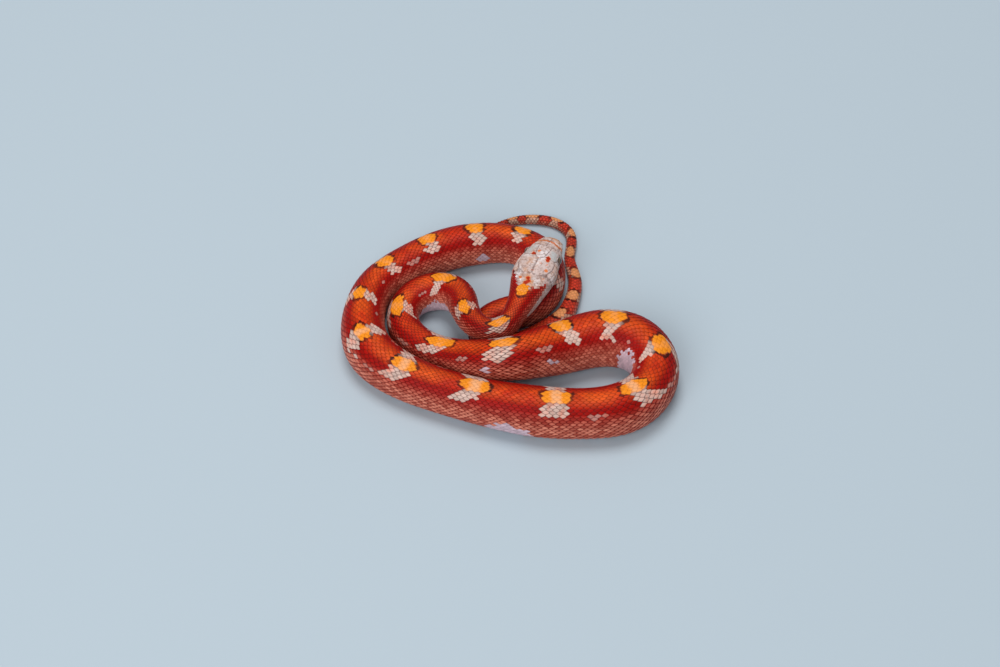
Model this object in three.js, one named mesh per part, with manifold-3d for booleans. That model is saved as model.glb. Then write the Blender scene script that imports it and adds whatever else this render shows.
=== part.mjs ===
// A young corn snake lying coiled on the floor, life size, in millimetres, +Z up.
// The body follows one hand-chosen route from the snout to the tip of the tail.
// It is cut into a head, a neck and lengths of torso and tail that meet face to face.
// The outlines of the head and of the body come from a few named sizes along that route.
import * as THREE from 'three';
import { mergeVertices } from 'three/addons/utils/BufferGeometryUtils.js';
import Module from 'manifold-3d';

const wasm = await Module();
wasm.setup();

// Route of the middle of the body: x, y, z and half the body's width
const ROUTE = [
  [13.9, 22.2, 14.4, 2.6],
  [10.9, 15.8, 15.0, 4.4],
  [7.2, 6.7, 15.3, 4.4],
  [4.5, -1.0, 15.1, 4.6],
  [1.8, -6.7, 14.5, 3.4],
  [-0.9, -10.7, 13.7, 3.3],
  [-5.2, -12.0, 13.2, 3.2],
  [-9.6, -9.4, 12.5, 3.6],
  [-12.6, -3.4, 11.5, 4.1],
  [-14.5, 4.0, 8.9, 4.8],
  [-19.8, 9.4, 6.1, 5.4],
  [-26.7, 8.6, 5.2, 5.2],
  [-31.1, 3.4, 4.9, 4.8],
  [-31.2, -3.6, 4.9, 4.9],
  [-26.8, -10.3, 5.1, 5.0],
  [-19.9, -15.0, 5.7, 5.2],
  [-12.5, -18.4, 7.7, 5.5],
  [-5.5, -20.9, 10.5, 5.8],
  [1.5, -20.7, 11.2, 6.2],
  [8.2, -17.5, 9.6, 6.9],
  [15.6, -13.9, 7.8, 7.4],
  [26.8, -10.3, 7.7, 8.0],
  [37.6, -12.6, 7.5, 7.8],
  [42.5, -20.4, 6.9, 7.1],
  [40.3, -29.3, 6.8, 6.9],
  [32.9, -35.5, 6.9, 7.1],
  [21.7, -37.5, 6.7, 6.9],
  [8.8, -36.8, 6.7, 7.0],
  [-5.5, -33.6, 6.3, 6.5],
  [-19.9, -28.6, 6.0, 6.2],
  [-33.5, -21.6, 6.3, 6.6],
  [-41.5, -12.7, 6.4, 6.9],
  [-43.2, -0.3, 6.1, 6.3],
  [-39.8, 11.4, 5.9, 5.8],
  [-31.3, 19.7, 5.9, 5.8],
  [-20.9, 25.8, 6.0, 6.1],
  [-7.2, 29.3, 5.9, 6.0],
  [4.3, 28.0, 5.5, 5.6],
  [10.3, 22.4, 5.5, 5.8],
  [12.0, 15.3, 5.2, 5.4],
  [9.8, 7.8, 5.0, 5.2],
  [3.4, 2.8, 4.8, 5.0],
  [-2.6, 1.0, 4.6, 4.7],
  [-6.5, -1.5, 4.3, 4.4],
  [-8.1, -5.6, 4.0, 4.1],
  [-6.5, -9.2, 3.7, 3.8],
  [-2.0, -10.7, 3.5, 3.6],
  [4.5, -8.2, 3.2, 3.3],
  [11.1, -3.2, 2.8, 2.9],
  [16.3, 1.9, 2.6, 2.7],
  [19.2, 9.0, 2.2, 2.3],
  [20.3, 17.4, 1.9, 2.0],
  [18.9, 27.3, 1.5, 1.6],
  [19.7, 33.1, 1.5, 1.6],
  [18.7, 38.3, 1.4, 1.5],
  [15.0, 41.7, 1.4, 1.45],
  [8.4, 43.3, 1.35, 1.4],
  [1.5, 42.9, 1.1, 1.1],
  [-4.5, 41.2, 0.7, 0.5],
];

// Head outline: distance from the snout, half width, height above and depth below the middle
const HEAD_OUTLINE = [
  [0, 0.9, 0.6, 0.5],
  [0.3, 2.0, 1.2, 1.1],
  [1, 3.0, 1.8, 1.6],
  [3, 4.0, 2.6, 2.3],
  [5.5, 4.8, 3.1, 2.7],
  [8, 5.4, 3.5, 3.1],
  [11, 6.0, 3.7, 3.4],
  [14, 6.45, 3.8, 3.6],
  [17, 6.5, 3.8, 3.7],
  [19, 6.2, 3.75, 3.7],
  [21, 5.75, 3.75, 3.65],
  [23, 5.25, 3.7, 3.6],
  [25.5, 4.75, 3.7, 3.6],
  [28, 4.0, 3.65, 3.55],
];
const HEAD_RINGS = [0, 0.15, 0.4, 0.8, 1.4, 2.2, 3.2, 4.4, 5.8, 7.2, 8.6, 10.2, 12, 14, 16, 17.5, 19, 20.5, 22];

// Body cross-section: belly depth against half width, and how square the back and belly are
const BELLY_DEPTH = 1;
const BACK_SQUARENESS = 2.15;
const BELLY_SQUARENESS = 2.9;
const HEAD_SQUARENESS = 2.5;
const BODY_SIDES = 16;
const HEAD_SIDES = 26;
const RING_STEP = 2.6;
const TAIL_RING_STEP = 2.2;
const TRACE_STEP = 0.25;

// Lengths of the body, each with the distance from the snout at which it ends
const GAP = 0.3;
const LENGTHS = [
  ['head', 24],
  ['neck', 58],
  ['torso_1', 84],
  ['torso_2', 118],
  ['torso_3', 150],
  ['torso_4', 180],
  ['torso_5', 208],
  ['torso_6', 240],
  ['torso_7', 272],
  ['torso_8', 304],
  ['torso_9', 336],
  ['torso_10', 366],
  ['torso_11', 392],
  ['torso_12', 418],
  ['tail_1', 446],
  ['tail_2', 472],
  ['tail_3', Infinity],
];

// Eyes, nostrils, brows and mouth, placed by distance from the snout
const EYE_RADIUS = 1.5;
const EYE_DISTANCE = 8.8;
const EYE_SIDE = 4.5;
const EYE_RISE = 0.9;
const NOSTRIL_RADIUS = 0.32;
const NOSTRIL_DISTANCE = 1.75;
const NOSTRIL_ANGLE = 1.05;
const BROW = { distance: 8.4, side: 4.2, rise: 2.7, length: 2.4, width: 1.1, height: 0.75 };
const MOUTH_RADIUS = 0.2;
const MOUTH_CORNER = 18;
const MOUTH_FRONT_ANGLE = 1.83;
const MOUTH_CORNER_ANGLE = 1.95;
const MOUTH_POINTS = 9;

const SKIN_RED = 0xb5402a;
const SAND_ORANGE = 0xc8552f;
const HEAD_GREY = 0xb89a8c;
const TAIL_BROWN = 0xa04a32;
const EYE_BROWN = 0x2b1c12;

function steps(count) {
  return Array.from({ length: count }, (_, i) => i);
}

// Second differences of a smooth curve through the values of one column of the route
function bends(values, spans) {
  const last = values.length - 1;
  const bend = new Array(values.length).fill(0);
  const upper = new Array(values.length).fill(0);
  for (let i = 1; i < last; i++) {
    const slopeIn = (values[i] - values[i - 1]) / spans[i - 1];
    const slopeOut = (values[i + 1] - values[i]) / spans[i];
    const pivot = 2 * (spans[i - 1] + spans[i]) - spans[i - 1] * upper[i - 1];
    upper[i] = spans[i] / pivot;
    bend[i] = (6 * (slopeOut - slopeIn) - spans[i - 1] * bend[i - 1]) / pivot;
  }
  for (let i = last - 1; i > 0; i--) {
    bend[i] -= upper[i] * bend[i + 1];
  }
  return bend;
}

// The route as closely spaced rows: x, y, z, half width and distance from the snout
function traceRoute() {
  const spans = steps(ROUTE.length - 1).map((i) => Math.hypot(
    ROUTE[i + 1][0] - ROUTE[i][0],
    ROUTE[i + 1][1] - ROUTE[i][1],
    ROUTE[i + 1][2] - ROUTE[i][2],
  ));
  const bend = steps(4).map((column) => bends(ROUTE.map((row) => row[column]), spans));
  const rows = [];
  for (let i = 0; i < spans.length; i++) {
    const count = Math.round(spans[i] / TRACE_STEP);
    for (let k = 0; k < count; k++) {
      const b = k / count;
      const a = 1 - b;
      const curl = (spans[i] * spans[i]) / 6;
      rows.push(steps(4).map((column) => a * ROUTE[i][column] + b * ROUTE[i + 1][column]
        + curl * ((a ** 3 - a) * bend[column][i] + (b ** 3 - b) * bend[column][i + 1])));
    }
  }
  rows.push([...ROUTE[ROUTE.length - 1]]);
  let travelled = 0;
  rows.forEach((row, i) => {
    if (i > 0) {
      const before = rows[i - 1];
      travelled += Math.hypot(row[0] - before[0], row[1] - before[1], row[2] - before[2]);
    }
    row.push(travelled);
  });
  return rows;
}

const TRACE = traceRoute();
const BODY_LENGTH = TRACE[TRACE.length - 1][4];

// A smooth value read from a list of stations, for one column
function readSmooth(stations, distance, column) {
  const last = stations.length - 1;
  let i = 0;
  while (i < last - 1 && distance > stations[i + 1][0]) {
    i++;
  }
  const slope = (k) => {
    const low = stations[Math.max(k - 1, 0)];
    const high = stations[Math.min(k + 1, last)];
    return (high[column] - low[column]) / (high[0] - low[0]);
  };
  const span = stations[i + 1][0] - stations[i][0];
  const t = Math.min(Math.max((distance - stations[i][0]) / span, 0), 1);
  const rise = t * t * (3 - 2 * t);
  const startPull = t * (1 - t) * (1 - t) * span * slope(i);
  const endPull = t * t * (1 - t) * span * slope(i + 1);
  return stations[i][column] * (1 - rise) + stations[i + 1][column] * rise + startPull - endPull;
}

// Middle, direction, side and up at a distance from the snout
function frameAt(distance) {
  let low = 0;
  let high = TRACE.length - 1;
  while (high - low > 1) {
    const middle = (low + high) >> 1;
    if (TRACE[middle][4] <= distance) {
      low = middle;
    } else {
      high = middle;
    }
  }
  const a = TRACE[low];
  const b = TRACE[high];
  const t = (distance - a[4]) / (b[4] - a[4]);
  const before = TRACE[Math.max(low - 3, 0)];
  const after = TRACE[Math.min(high + 3, TRACE.length - 1)];
  const along = new THREE.Vector3(after[0] - before[0], after[1] - before[1], after[2] - before[2]);
  along.normalize();
  const side = new THREE.Vector3().crossVectors(along, new THREE.Vector3(0, 0, 1)).normalize();
  return {
    middle: new THREE.Vector3(...[0, 1, 2].map((k) => a[k] + t * (b[k] - a[k]))),
    along,
    side,
    up: new THREE.Vector3().crossVectors(side, along),
    halfWidth: a[3] + t * (b[3] - a[3]),
  };
}

// A point in the snake, by distance from the snout and offsets to the side and up
function placed(distance, toSide, toUp) {
  const frame = frameAt(Math.max(distance, 0));
  return frame.middle.clone()
    .addScaledVector(frame.along, Math.min(distance, 0))
    .addScaledVector(frame.side, toSide)
    .addScaledVector(frame.up, toUp);
}

// A point on the skin, with the angle counted from the middle of the back
function skinPoint(distance, angle) {
  const headEnd = HEAD_OUTLINE[HEAD_OUTLINE.length - 1][0];
  const blend = THREE.MathUtils.smoothstep(distance, headEnd - 5, headEnd);
  const own = frameAt(distance).halfWidth;
  const read = (column) => readSmooth(HEAD_OUTLINE, distance, column) * (1 - blend);
  const width = read(1) + blend * own;
  const above = read(2) + blend * own;
  const below = read(3) + blend * own * BELLY_DEPTH;
  const sideways = Math.sin(angle);
  const upward = Math.cos(angle);
  const back = HEAD_SQUARENESS + blend * (BACK_SQUARENESS - HEAD_SQUARENESS);
  const power = upward > 0 ? back : BELLY_SQUARENESS;
  const reach = (Math.abs(sideways) ** power + Math.abs(upward) ** power) ** (-1 / power);
  const point = placed(distance, width * sideways * reach, (upward > 0 ? above : below) * upward * reach);
  point.z = Math.max(point.z, 0);
  return point;
}

// A closed surface through rings of skin points, with a flat end on each side
function bodyGeometry(distances, sides) {
  const positions = [];
  const index = [];
  distances.forEach((distance) => {
    for (let k = 0; k < sides; k++) {
      const point = skinPoint(distance, (2 * Math.PI * (k + 0.5)) / sides);
      positions.push(point.x, point.y, point.z);
    }
  });
  for (let i = 0; i + 1 < distances.length; i++) {
    for (let k = 0; k < sides; k++) {
      const a = i * sides + k;
      const b = i * sides + ((k + 1) % sides);
      index.push(a, b, a + sides, b, b + sides, a + sides);
    }
  }
  for (const end of [0, distances.length - 1]) {
    const start = end * sides;
    const hub = positions.length / 3;
    for (let axis = 0; axis < 3; axis++) {
      const sum = steps(sides).reduce((total, k) => total + positions[3 * (start + k) + axis], 0);
      positions.push(sum / sides);
    }
    for (let k = 0; k < sides; k++) {
      const next = start + ((k + 1) % sides);
      index.push(hub, ...(end === 0 ? [next, start + k] : [start + k, next]));
    }
  }
  const geometry = new THREE.BufferGeometry();
  geometry.setAttribute('position', new THREE.Float32BufferAttribute(positions, 3));
  geometry.setIndex(index);
  return geometry;
}

// Evenly spaced ring distances over one length of the body
function ringDistances(from, to, step) {
  const count = Math.ceil((to - from) / step);
  return steps(count + 1).map((i) => from + ((to - from) * i) / count);
}

function solidOf(geometry) {
  const bare = geometry.clone();
  bare.deleteAttribute('normal');
  bare.deleteAttribute('uv');
  const merged = mergeVertices(bare, 0.001);
  const vertProperties = new Float32Array(merged.attributes.position.array);
  const triVerts = new Uint32Array(merged.index.array);
  return new wasm.Manifold(new wasm.Mesh({ numProp: 3, vertProperties, triVerts }));
}

function geometryOf(solid) {
  const mesh = solid.getMesh();
  const geometry = new THREE.BufferGeometry();
  geometry.setAttribute('position', new THREE.BufferAttribute(new Float32Array(mesh.vertProperties), 3));
  geometry.setIndex(new THREE.BufferAttribute(new Uint32Array(mesh.triVerts), 1));
  return geometry;
}

function ballAt(point, radius, columns, rows) {
  const ball = new THREE.SphereGeometry(radius, columns, rows);
  ball.translate(point.x, point.y, point.z);
  return ball;
}

function eyeCentre(hand) {
  return placed(EYE_DISTANCE, hand * EYE_SIDE, EYE_RISE);
}

// The low ridge over each eye
function browSolid(hand) {
  const frame = frameAt(BROW.distance);
  const brow = new THREE.SphereGeometry(1, 12, 8);
  brow.scale(BROW.length, BROW.width, BROW.height);
  brow.applyMatrix4(new THREE.Matrix4().makeBasis(frame.along, frame.up.clone().cross(frame.along), frame.up));
  const centre = placed(BROW.distance, hand * BROW.side, BROW.rise);
  brow.translate(centre.x, centre.y, centre.z);
  return solidOf(brow);
}

// The line of the mouth, a groove that runs round the snout from corner to corner
function mouthSolid() {
  const sidePoints = (hand) => steps(MOUTH_POINTS).map((i) => {
    const t = i / (MOUTH_POINTS - 1);
    const distance = 0.3 + (MOUTH_CORNER - 0.3) * t ** 1.6;
    const angle = MOUTH_FRONT_ANGLE + (MOUTH_CORNER_ANGLE - MOUTH_FRONT_ANGLE) * t;
    return skinPoint(distance, hand * angle);
  });
  const path = [...sidePoints(1).reverse(), placed(-0.05, 0, -0.3), ...sidePoints(-1)];
  const curve = new THREE.CatmullRomCurve3(path, false, 'centripetal');
  const outline = new THREE.Shape(steps(6).map((k) => new THREE.Vector2(
    MOUTH_RADIUS * Math.cos((k * Math.PI) / 3),
    MOUTH_RADIUS * Math.sin((k * Math.PI) / 3),
  )));
  return solidOf(new THREE.ExtrudeGeometry(outline, { steps: 44, extrudePath: curve, bevelEnabled: false }));
}

function headGeometry(end) {
  let head = solidOf(bodyGeometry([...HEAD_RINGS, end], HEAD_SIDES));
  for (const hand of [1, -1]) {
    head = head.add(browSolid(hand));
    head = head.subtract(solidOf(ballAt(eyeCentre(hand), EYE_RADIUS + GAP, 16, 12)));
    const nostril = skinPoint(NOSTRIL_DISTANCE, hand * NOSTRIL_ANGLE);
    head = head.subtract(solidOf(ballAt(nostril, NOSTRIL_RADIUS, 8, 6)));
  }
  return geometryOf(head.subtract(mouthSolid()));
}

function named(name, geometry, color, roughness) {
  const mesh = new THREE.Mesh(geometry, new THREE.MeshStandardMaterial({ color, roughness, metalness: 0 }));
  mesh.name = name;
  return mesh;
}

function lengthColour(name) {
  if (name === 'head') {
    return HEAD_GREY;
  }
  if (name === 'neck') {
    return SAND_ORANGE;
  }
  return name.startsWith('tail') ? TAIL_BROWN : SKIN_RED;
}

const snake = new THREE.Group();
let start = 0;
for (const [name, ending] of LENGTHS) {
  const last = Math.min(ending, BODY_LENGTH) - (ending < BODY_LENGTH ? GAP / 2 : 0);
  const step = name.startsWith('tail') ? TAIL_RING_STEP : RING_STEP;
  const geometry = name === 'head'
    ? headGeometry(last)
    : bodyGeometry(ringDistances(start, last, step), BODY_SIDES);
  snake.add(named(name, geometry, lengthColour(name), 0.5));
  start = ending + GAP / 2;
}
snake.add(named('eye_left', ballAt(eyeCentre(-1), EYE_RADIUS, 16, 12), EYE_BROWN, 0.15));
snake.add(named('eye_right', ballAt(eyeCentre(1), EYE_RADIUS, 16, 12), EYE_BROWN, 0.15));

export default snake;
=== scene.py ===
"""A young corn snake lying coiled on a pale floor, life size, in metres.

One skin follows the route of the body, and scales, belly plates and head shields lie over it.
"""

import math

import bpy
import numpy as np
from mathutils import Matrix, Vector


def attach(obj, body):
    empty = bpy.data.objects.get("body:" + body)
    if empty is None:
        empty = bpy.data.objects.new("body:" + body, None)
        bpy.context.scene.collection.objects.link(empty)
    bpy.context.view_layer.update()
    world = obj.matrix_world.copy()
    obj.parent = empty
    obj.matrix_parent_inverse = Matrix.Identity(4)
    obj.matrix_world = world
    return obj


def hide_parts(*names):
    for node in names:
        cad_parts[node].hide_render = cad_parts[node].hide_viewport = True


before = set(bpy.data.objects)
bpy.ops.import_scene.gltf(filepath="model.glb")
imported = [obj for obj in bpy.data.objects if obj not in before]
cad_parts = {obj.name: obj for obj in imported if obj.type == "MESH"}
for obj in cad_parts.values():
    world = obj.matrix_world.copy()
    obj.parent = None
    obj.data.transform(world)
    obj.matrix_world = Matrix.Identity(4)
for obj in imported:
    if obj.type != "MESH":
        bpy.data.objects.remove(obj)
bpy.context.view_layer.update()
MM = 0.001

# Route of the middle of the body in millimetres: x, y, z and half the body's width
ROUTE = np.array([
    [13.9, 22.2, 14.4, 2.6],
    [10.9, 15.8, 15.0, 4.4],
    [7.2, 6.7, 15.3, 4.4],
    [4.5, -1.0, 15.1, 4.6],
    [1.8, -6.7, 14.5, 3.4],
    [-0.9, -10.7, 13.7, 3.3],
    [-5.2, -12.0, 13.2, 3.2],
    [-9.6, -9.4, 12.5, 3.6],
    [-12.6, -3.4, 11.5, 4.1],
    [-14.5, 4.0, 8.9, 4.8],
    [-19.8, 9.4, 6.1, 5.4],
    [-26.7, 8.6, 5.2, 5.2],
    [-31.1, 3.4, 4.9, 4.8],
    [-31.2, -3.6, 4.9, 4.9],
    [-26.8, -10.3, 5.1, 5.0],
    [-19.9, -15.0, 5.7, 5.2],
    [-12.5, -18.4, 7.7, 5.5],
    [-5.5, -20.9, 10.5, 5.8],
    [1.5, -20.7, 11.2, 6.2],
    [8.2, -17.5, 9.6, 6.9],
    [15.6, -13.9, 7.8, 7.4],
    [26.8, -10.3, 7.7, 8.0],
    [37.6, -12.6, 7.5, 7.8],
    [42.5, -20.4, 6.9, 7.1],
    [40.3, -29.3, 6.8, 6.9],
    [32.9, -35.5, 6.9, 7.1],
    [21.7, -37.5, 6.7, 6.9],
    [8.8, -36.8, 6.7, 7.0],
    [-5.5, -33.6, 6.3, 6.5],
    [-19.9, -28.6, 6.0, 6.2],
    [-33.5, -21.6, 6.3, 6.6],
    [-41.5, -12.7, 6.4, 6.9],
    [-43.2, -0.3, 6.1, 6.3],
    [-39.8, 11.4, 5.9, 5.8],
    [-31.3, 19.7, 5.9, 5.8],
    [-20.9, 25.8, 6.0, 6.1],
    [-7.2, 29.3, 5.9, 6.0],
    [4.3, 28.0, 5.5, 5.6],
    [10.3, 22.4, 5.5, 5.8],
    [12.0, 15.3, 5.2, 5.4],
    [9.8, 7.8, 5.0, 5.2],
    [3.4, 2.8, 4.8, 5.0],
    [-2.6, 1.0, 4.6, 4.7],
    [-6.5, -1.5, 4.3, 4.4],
    [-8.1, -5.6, 4.0, 4.1],
    [-6.5, -9.2, 3.7, 3.8],
    [-2.0, -10.7, 3.5, 3.6],
    [4.5, -8.2, 3.2, 3.3],
    [11.1, -3.2, 2.8, 2.9],
    [16.3, 1.9, 2.6, 2.7],
    [19.2, 9.0, 2.2, 2.3],
    [20.3, 17.4, 1.9, 2.0],
    [18.9, 27.3, 1.5, 1.6],
    [19.7, 33.1, 1.5, 1.6],
    [18.7, 38.3, 1.4, 1.5],
    [15.0, 41.7, 1.4, 1.45],
    [8.4, 43.3, 1.35, 1.4],
    [1.5, 42.9, 1.1, 1.1],
    [-4.5, 41.2, 0.7, 0.5],
])
TRACE_STEP = 0.25
TRACE_WINDOW = 3

# Head outline: distance from the snout, half width, height above and depth below the middle
HEAD_OUTLINE = np.array([
    [0, 0.9, 0.6, 0.5],
    [0.3, 2.0, 1.2, 1.1],
    [1, 3.0, 1.8, 1.6],
    [3, 4.0, 2.6, 2.3],
    [5.5, 4.8, 3.1, 2.7],
    [8, 5.4, 3.5, 3.1],
    [11, 6.0, 3.7, 3.4],
    [14, 6.45, 3.8, 3.6],
    [17, 6.5, 3.8, 3.7],
    [19, 6.2, 3.75, 3.7],
    [21, 5.75, 3.75, 3.65],
    [23, 5.25, 3.7, 3.6],
    [25.5, 4.75, 3.7, 3.6],
    [28, 4.0, 3.65, 3.55],
])
BELLY_DEPTH = 1.0
BACK_SQUARENESS = 2.15
BELLY_SQUARENESS = 2.9
HEAD_SQUARENESS = 2.5
HEAD_END = 28.0
HEAD_BLEND = 5.0

# Coat: how far the skin lies inside the solids, in millimetres on the head and as a share of the half
# width behind it, and the distances between which the one becomes the other
PLATE_DEPTH = 0.13
COAT_SHARE = 0.045
COAT_CHANGE = (14, 30)
SHIELDS_END = 18.4

# Scale rows: distance from the snout and spacing of the rows, and the number of columns
ROW_SPACING = np.array([
    [15, 0.9], [24, 1.05], [40, 1.25], [70, 1.5], [120, 1.75], [165, 1.85],
    [240, 1.85], [320, 1.75], [400, 1.55], [430, 1.4], [470, 1.15], [498, 0.9],
])
COLUMNS = np.array([
    [15, 33], [60, 33], [120, 37], [300, 37], [400, 29], [418, 23], [426, 17], [450, 11], [480, 8], [498, 6],
])
# Angle at which the scales of the flank end and the belly plates begin
PLATE_EDGE = 2.2
SCALE_LENGTH = 1.5
SCALE_WIDTH = 1.96

# Saddles along the back: distance from the snout, half length, roll from the middle of the back, half
# turn, how far tailwards the grey patches below them drift, and how far round those patches reach
SADDLES = np.array([
    [25.6, 2.2, 0.08, 0.36, 0, 0], [38.3, 3.0, -0.08, 0.40, 1.5, 1.0],
    [51.1, 2.4, -0.30, 0.42, 0.0, 0.95], [68.0, 3.8, 0.18, 0.42, 3.2, 1.25],
    [86.7, 3.4, 0.40, 0.42, 3.0, 1.0], [108.0, 4.9, -0.10, 0.38, -4.5, 0.85],
    [128.3, 3.4, -0.22, 0.30, -2.6, 0.98], [146.4, 3.6, -0.36, 0.40, 2.6, 1.0],
    [162.4, 3.3, -0.20, 0.37, -2.2, 1.02], [177.5, 3.0, -0.34, 0.40, 4.5, 1.0],
    [195.6, 4.1, 0.10, 0.33, -2.8, 1.0], [218.5, 4.2, 0.04, 0.36, 0.8, 0.92],
    [242.0, 4.6, 0.06, 0.38, 3.6, 0.92], [264.2, 3.6, -0.06, 0.35, 2.6, 0.9],
    [281.0, 2.8, -0.18, 0.33, -1.8, 0.95], [296.5, 2.5, -0.30, 0.30, -2.0, 1.0],
    [310.8, 2.6, -0.28, 0.38, 0.5, 1.0], [325.8, 2.6, -0.30, 0.40, 0.2, 1.02],
    [340.5, 2.6, -0.20, 0.40, 0.3, 0.98], [354.6, 2.3, -0.42, 0.40, -0.8, 1.0],
    [375.0, 2.4, 0.08, 0.34, 0.0, 1.5], [387.5, 2.2, 0.10, 0.30, 0, 0],
    [404.5, 2.2, 0.0, 0.34, 0, 0], [415.0, 2.1, -0.20, 0.5, 0.5, 1.2],
    [433.0, 2.1, -0.30, 0.75, 0.8, 1.5], [442.0, 2.0, 0.05, 0.85, 2.0, 1.6],
    [451.8, 2.0, 0.35, 0.80, 2.8, 1.6], [461.5, 2.1, 0.10, 0.80, 3.6, 1.5],
    [469.5, 1.7, 0.45, 0.85, -1.2, 1.6], [476.8, 1.8, 0.60, 0.90, 0.3, 2.4],
    [484.4, 2.2, 0.60, 0.90, 0.0, 2.4], [490.8, 1.6, 0.55, 0.90, 0.0, 2.4],
])
# Saddles whose middle is pale tan, with orange at the front and rear ends only
PALE_MIDDLES = (10, 14)
BLOTCH_TURN = 0.92

# Places where the pale belly shows up the side: distance, half length, and the angles it lies between
PALE_SIDES = [
    (176.0, 9.5, 0.98, 3.1), (72.0, 12.0, -3.1, -1.42), (231.0, 6.5, -3.1, -1.60), (83.0, 5.0, -3.1, -1.7),
    (124.0, 2.4, 1.26, 1.5), (139.5, 3.0, 1.16, 1.42), (342.5, 2.6, 1.50, 1.9), (47.0, 9.0, 1.9, 3.1),
    (36.0, 7.0, 2.0, 3.1),
]

# Eyes
EYE_RADIUS = 1.5
EYE_DISTANCE = 8.8
EYE_SIDE = 4.5
EYE_RISE = 0.9
MOUTH_FRONT_ANGLE = 1.83
MOUTH_CORNER_ANGLE = 1.95
MOUTH_CORNER = 18.0
NOSTRIL_DISTANCE = 1.75
NOSTRIL_ANGLE = 1.05

# The bake map: the skin in long strips, and the size of one scale's patch on it
UNWRAP_STRIPS = 4
UNWRAP_MARGIN = 0.02
LAST_SHARE = 0.99999
PATCH_SIZE = 0.003

# The camera: the photo is taken from about this height and distance
CAMERA_ELEVATION = 50.0
CAMERA_DISTANCE = 580.0
CAMERA_TARGET = (-2.6, -2.4, 0.0)
PHOTO_WIDTH = 1000
FOCAL_PIXELS = 1933.0
SENSOR_WIDTH = 36.0

# Light: the world's strength and tint, and soft round lights by name, place, size and power
WORLD_STRENGTH = 0.43
WORLD_TINT = (0.93, 0.97, 1.0, 1)
LIGHTS = [
    ("window_light", (-0.05, 0.32, 1.3), 0.7, 10),
    ("fill_light", (-0.5, -0.9, 0.8), 0.9, 9),
]
FLOOR_HALF = 3.0

# Seeds of the repeatable noise
WOBBLE_SEED = 1
CHANCE_SEED = 2
PLATE_SEED = 4
SHIELD_SEED = 5
CHECK_SEED = 6
BLOTCH_SEED = 9


def srgb(red, green, blue):
    """A colour given as 0 to 255, as Blender's linear colour."""
    values = [c / 255 for c in (red, green, blue)]
    linear = [c / 12.92 if c <= 0.04045 else ((c + 0.055) / 1.055) ** 2.4 for c in values]
    return (*linear, 1.0)


BACK_RED = srgb(186, 42, 8)
BACK_ORANGE = srgb(212, 78, 18)
# Deep red of the upper flanks: partly the snake's own colour, partly painted shade
DEEP_RED_AND_SHADE = srgb(150, 12, 5)
FLANK_RED = srgb(166, 40, 24)
FLANK_PALE = srgb(220, 134, 110)
SADDLE_ORANGE = srgb(246, 144, 26)
SADDLE_PALE = srgb(222, 158, 110)
PATCH_GREY = srgb(202, 172, 160)
EDGE_DARK = srgb(40, 16, 10)
TAIL_RED = srgb(196, 58, 38)
TAIL_PEACH = srgb(222, 150, 104)
BELLY_LAVENDER = srgb(206, 184, 196)
HEAD_PALE = srgb(200, 178, 172)
HEAD_MOTTLE = srgb(146, 110, 96)
HEAD_TAN = srgb(196, 132, 84)
BROW_BLUE = srgb(176, 184, 186)
SPOT_RED = srgb(170, 42, 14)
SPOT_ORANGE = srgb(214, 108, 36)
# Dark of the lines round scales and of the skin between them: partly the snake's darker skin, partly painted
# shade in the grooves
GROOVE_SKIN_AND_SHADE = srgb(60, 8, 4)
HEAD_WHITE = srgb(226, 218, 218)
BAND_BROWN = srgb(170, 92, 44)
FLOOR_BLUE = srgb(172, 185, 194)


def smoothstep(x, low, high):
    """A smooth rise from 0 at low to 1 at high."""
    t = np.clip((np.asarray(x, float) - low) / (high - low), 0, 1)
    return t * t * (3 - 2 * t)


def bends(values, spans):
    """Second differences of a smooth curve through one column of the route."""
    last = len(values) - 1
    bend = np.zeros(len(values))
    upper = np.zeros(len(values))
    for i in range(1, last):
        slope_in = (values[i] - values[i - 1]) / spans[i - 1]
        slope_out = (values[i + 1] - values[i]) / spans[i]
        pivot = 2 * (spans[i - 1] + spans[i]) - spans[i - 1] * upper[i - 1]
        upper[i] = spans[i] / pivot
        bend[i] = (6 * (slope_out - slope_in) - spans[i - 1] * bend[i - 1]) / pivot
    for i in range(last - 1, 0, -1):
        bend[i] -= upper[i] * bend[i + 1]
    return bend


def trace_route():
    """The route as closely spaced rows of x, y, z and half width, and their distances."""
    spans = np.linalg.norm(np.diff(ROUTE[:, :3], axis=0), axis=1)
    bend = np.stack([bends(ROUTE[:, c], spans) for c in range(4)], axis=1)
    rows = []
    for i, span in enumerate(spans):
        count = max(1, round(span / TRACE_STEP))
        b = (np.arange(count) / count)[:, None]
        a = 1 - b
        curl = span * span / 6
        bent = (a**3 - a) * bend[i] + (b**3 - b) * bend[i + 1]
        rows.append(a * ROUTE[i] + b * ROUTE[i + 1] + curl * bent)
    rows.append(ROUTE[-1:])
    rows = np.concatenate(rows)
    steps = np.linalg.norm(np.diff(rows[:, :3], axis=0), axis=1)
    return rows, np.concatenate([[0], np.cumsum(steps)])


TRACE, TRACE_DISTANCE = trace_route()
BODY_LENGTH = float(TRACE_DISTANCE[-1])


def read_smooth(stations, distance, column):
    """A smooth value read from a list of stations, for one column."""
    x = stations[:, 0]
    y = stations[:, column]
    last = len(x) - 1
    low = np.maximum(np.arange(last + 1) - 1, 0)
    high = np.minimum(np.arange(last + 1) + 1, last)
    slope = (y[high] - y[low]) / (x[high] - x[low])
    i = np.clip(np.searchsorted(x, distance, side="left") - 1, 0, last - 1)
    span = x[i + 1] - x[i]
    t = np.clip((distance - x[i]) / span, 0, 1)
    rise = t * t * (3 - 2 * t)
    pull = t * (1 - t) * (1 - t) * span * slope[i] - t * t * (1 - t) * span * slope[i + 1]
    return y[i] * (1 - rise) + y[i + 1] * rise + pull


def unit(v):
    """Vectors made one long."""
    return v / np.maximum(np.linalg.norm(v, axis=-1, keepdims=True), 1e-12)


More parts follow.
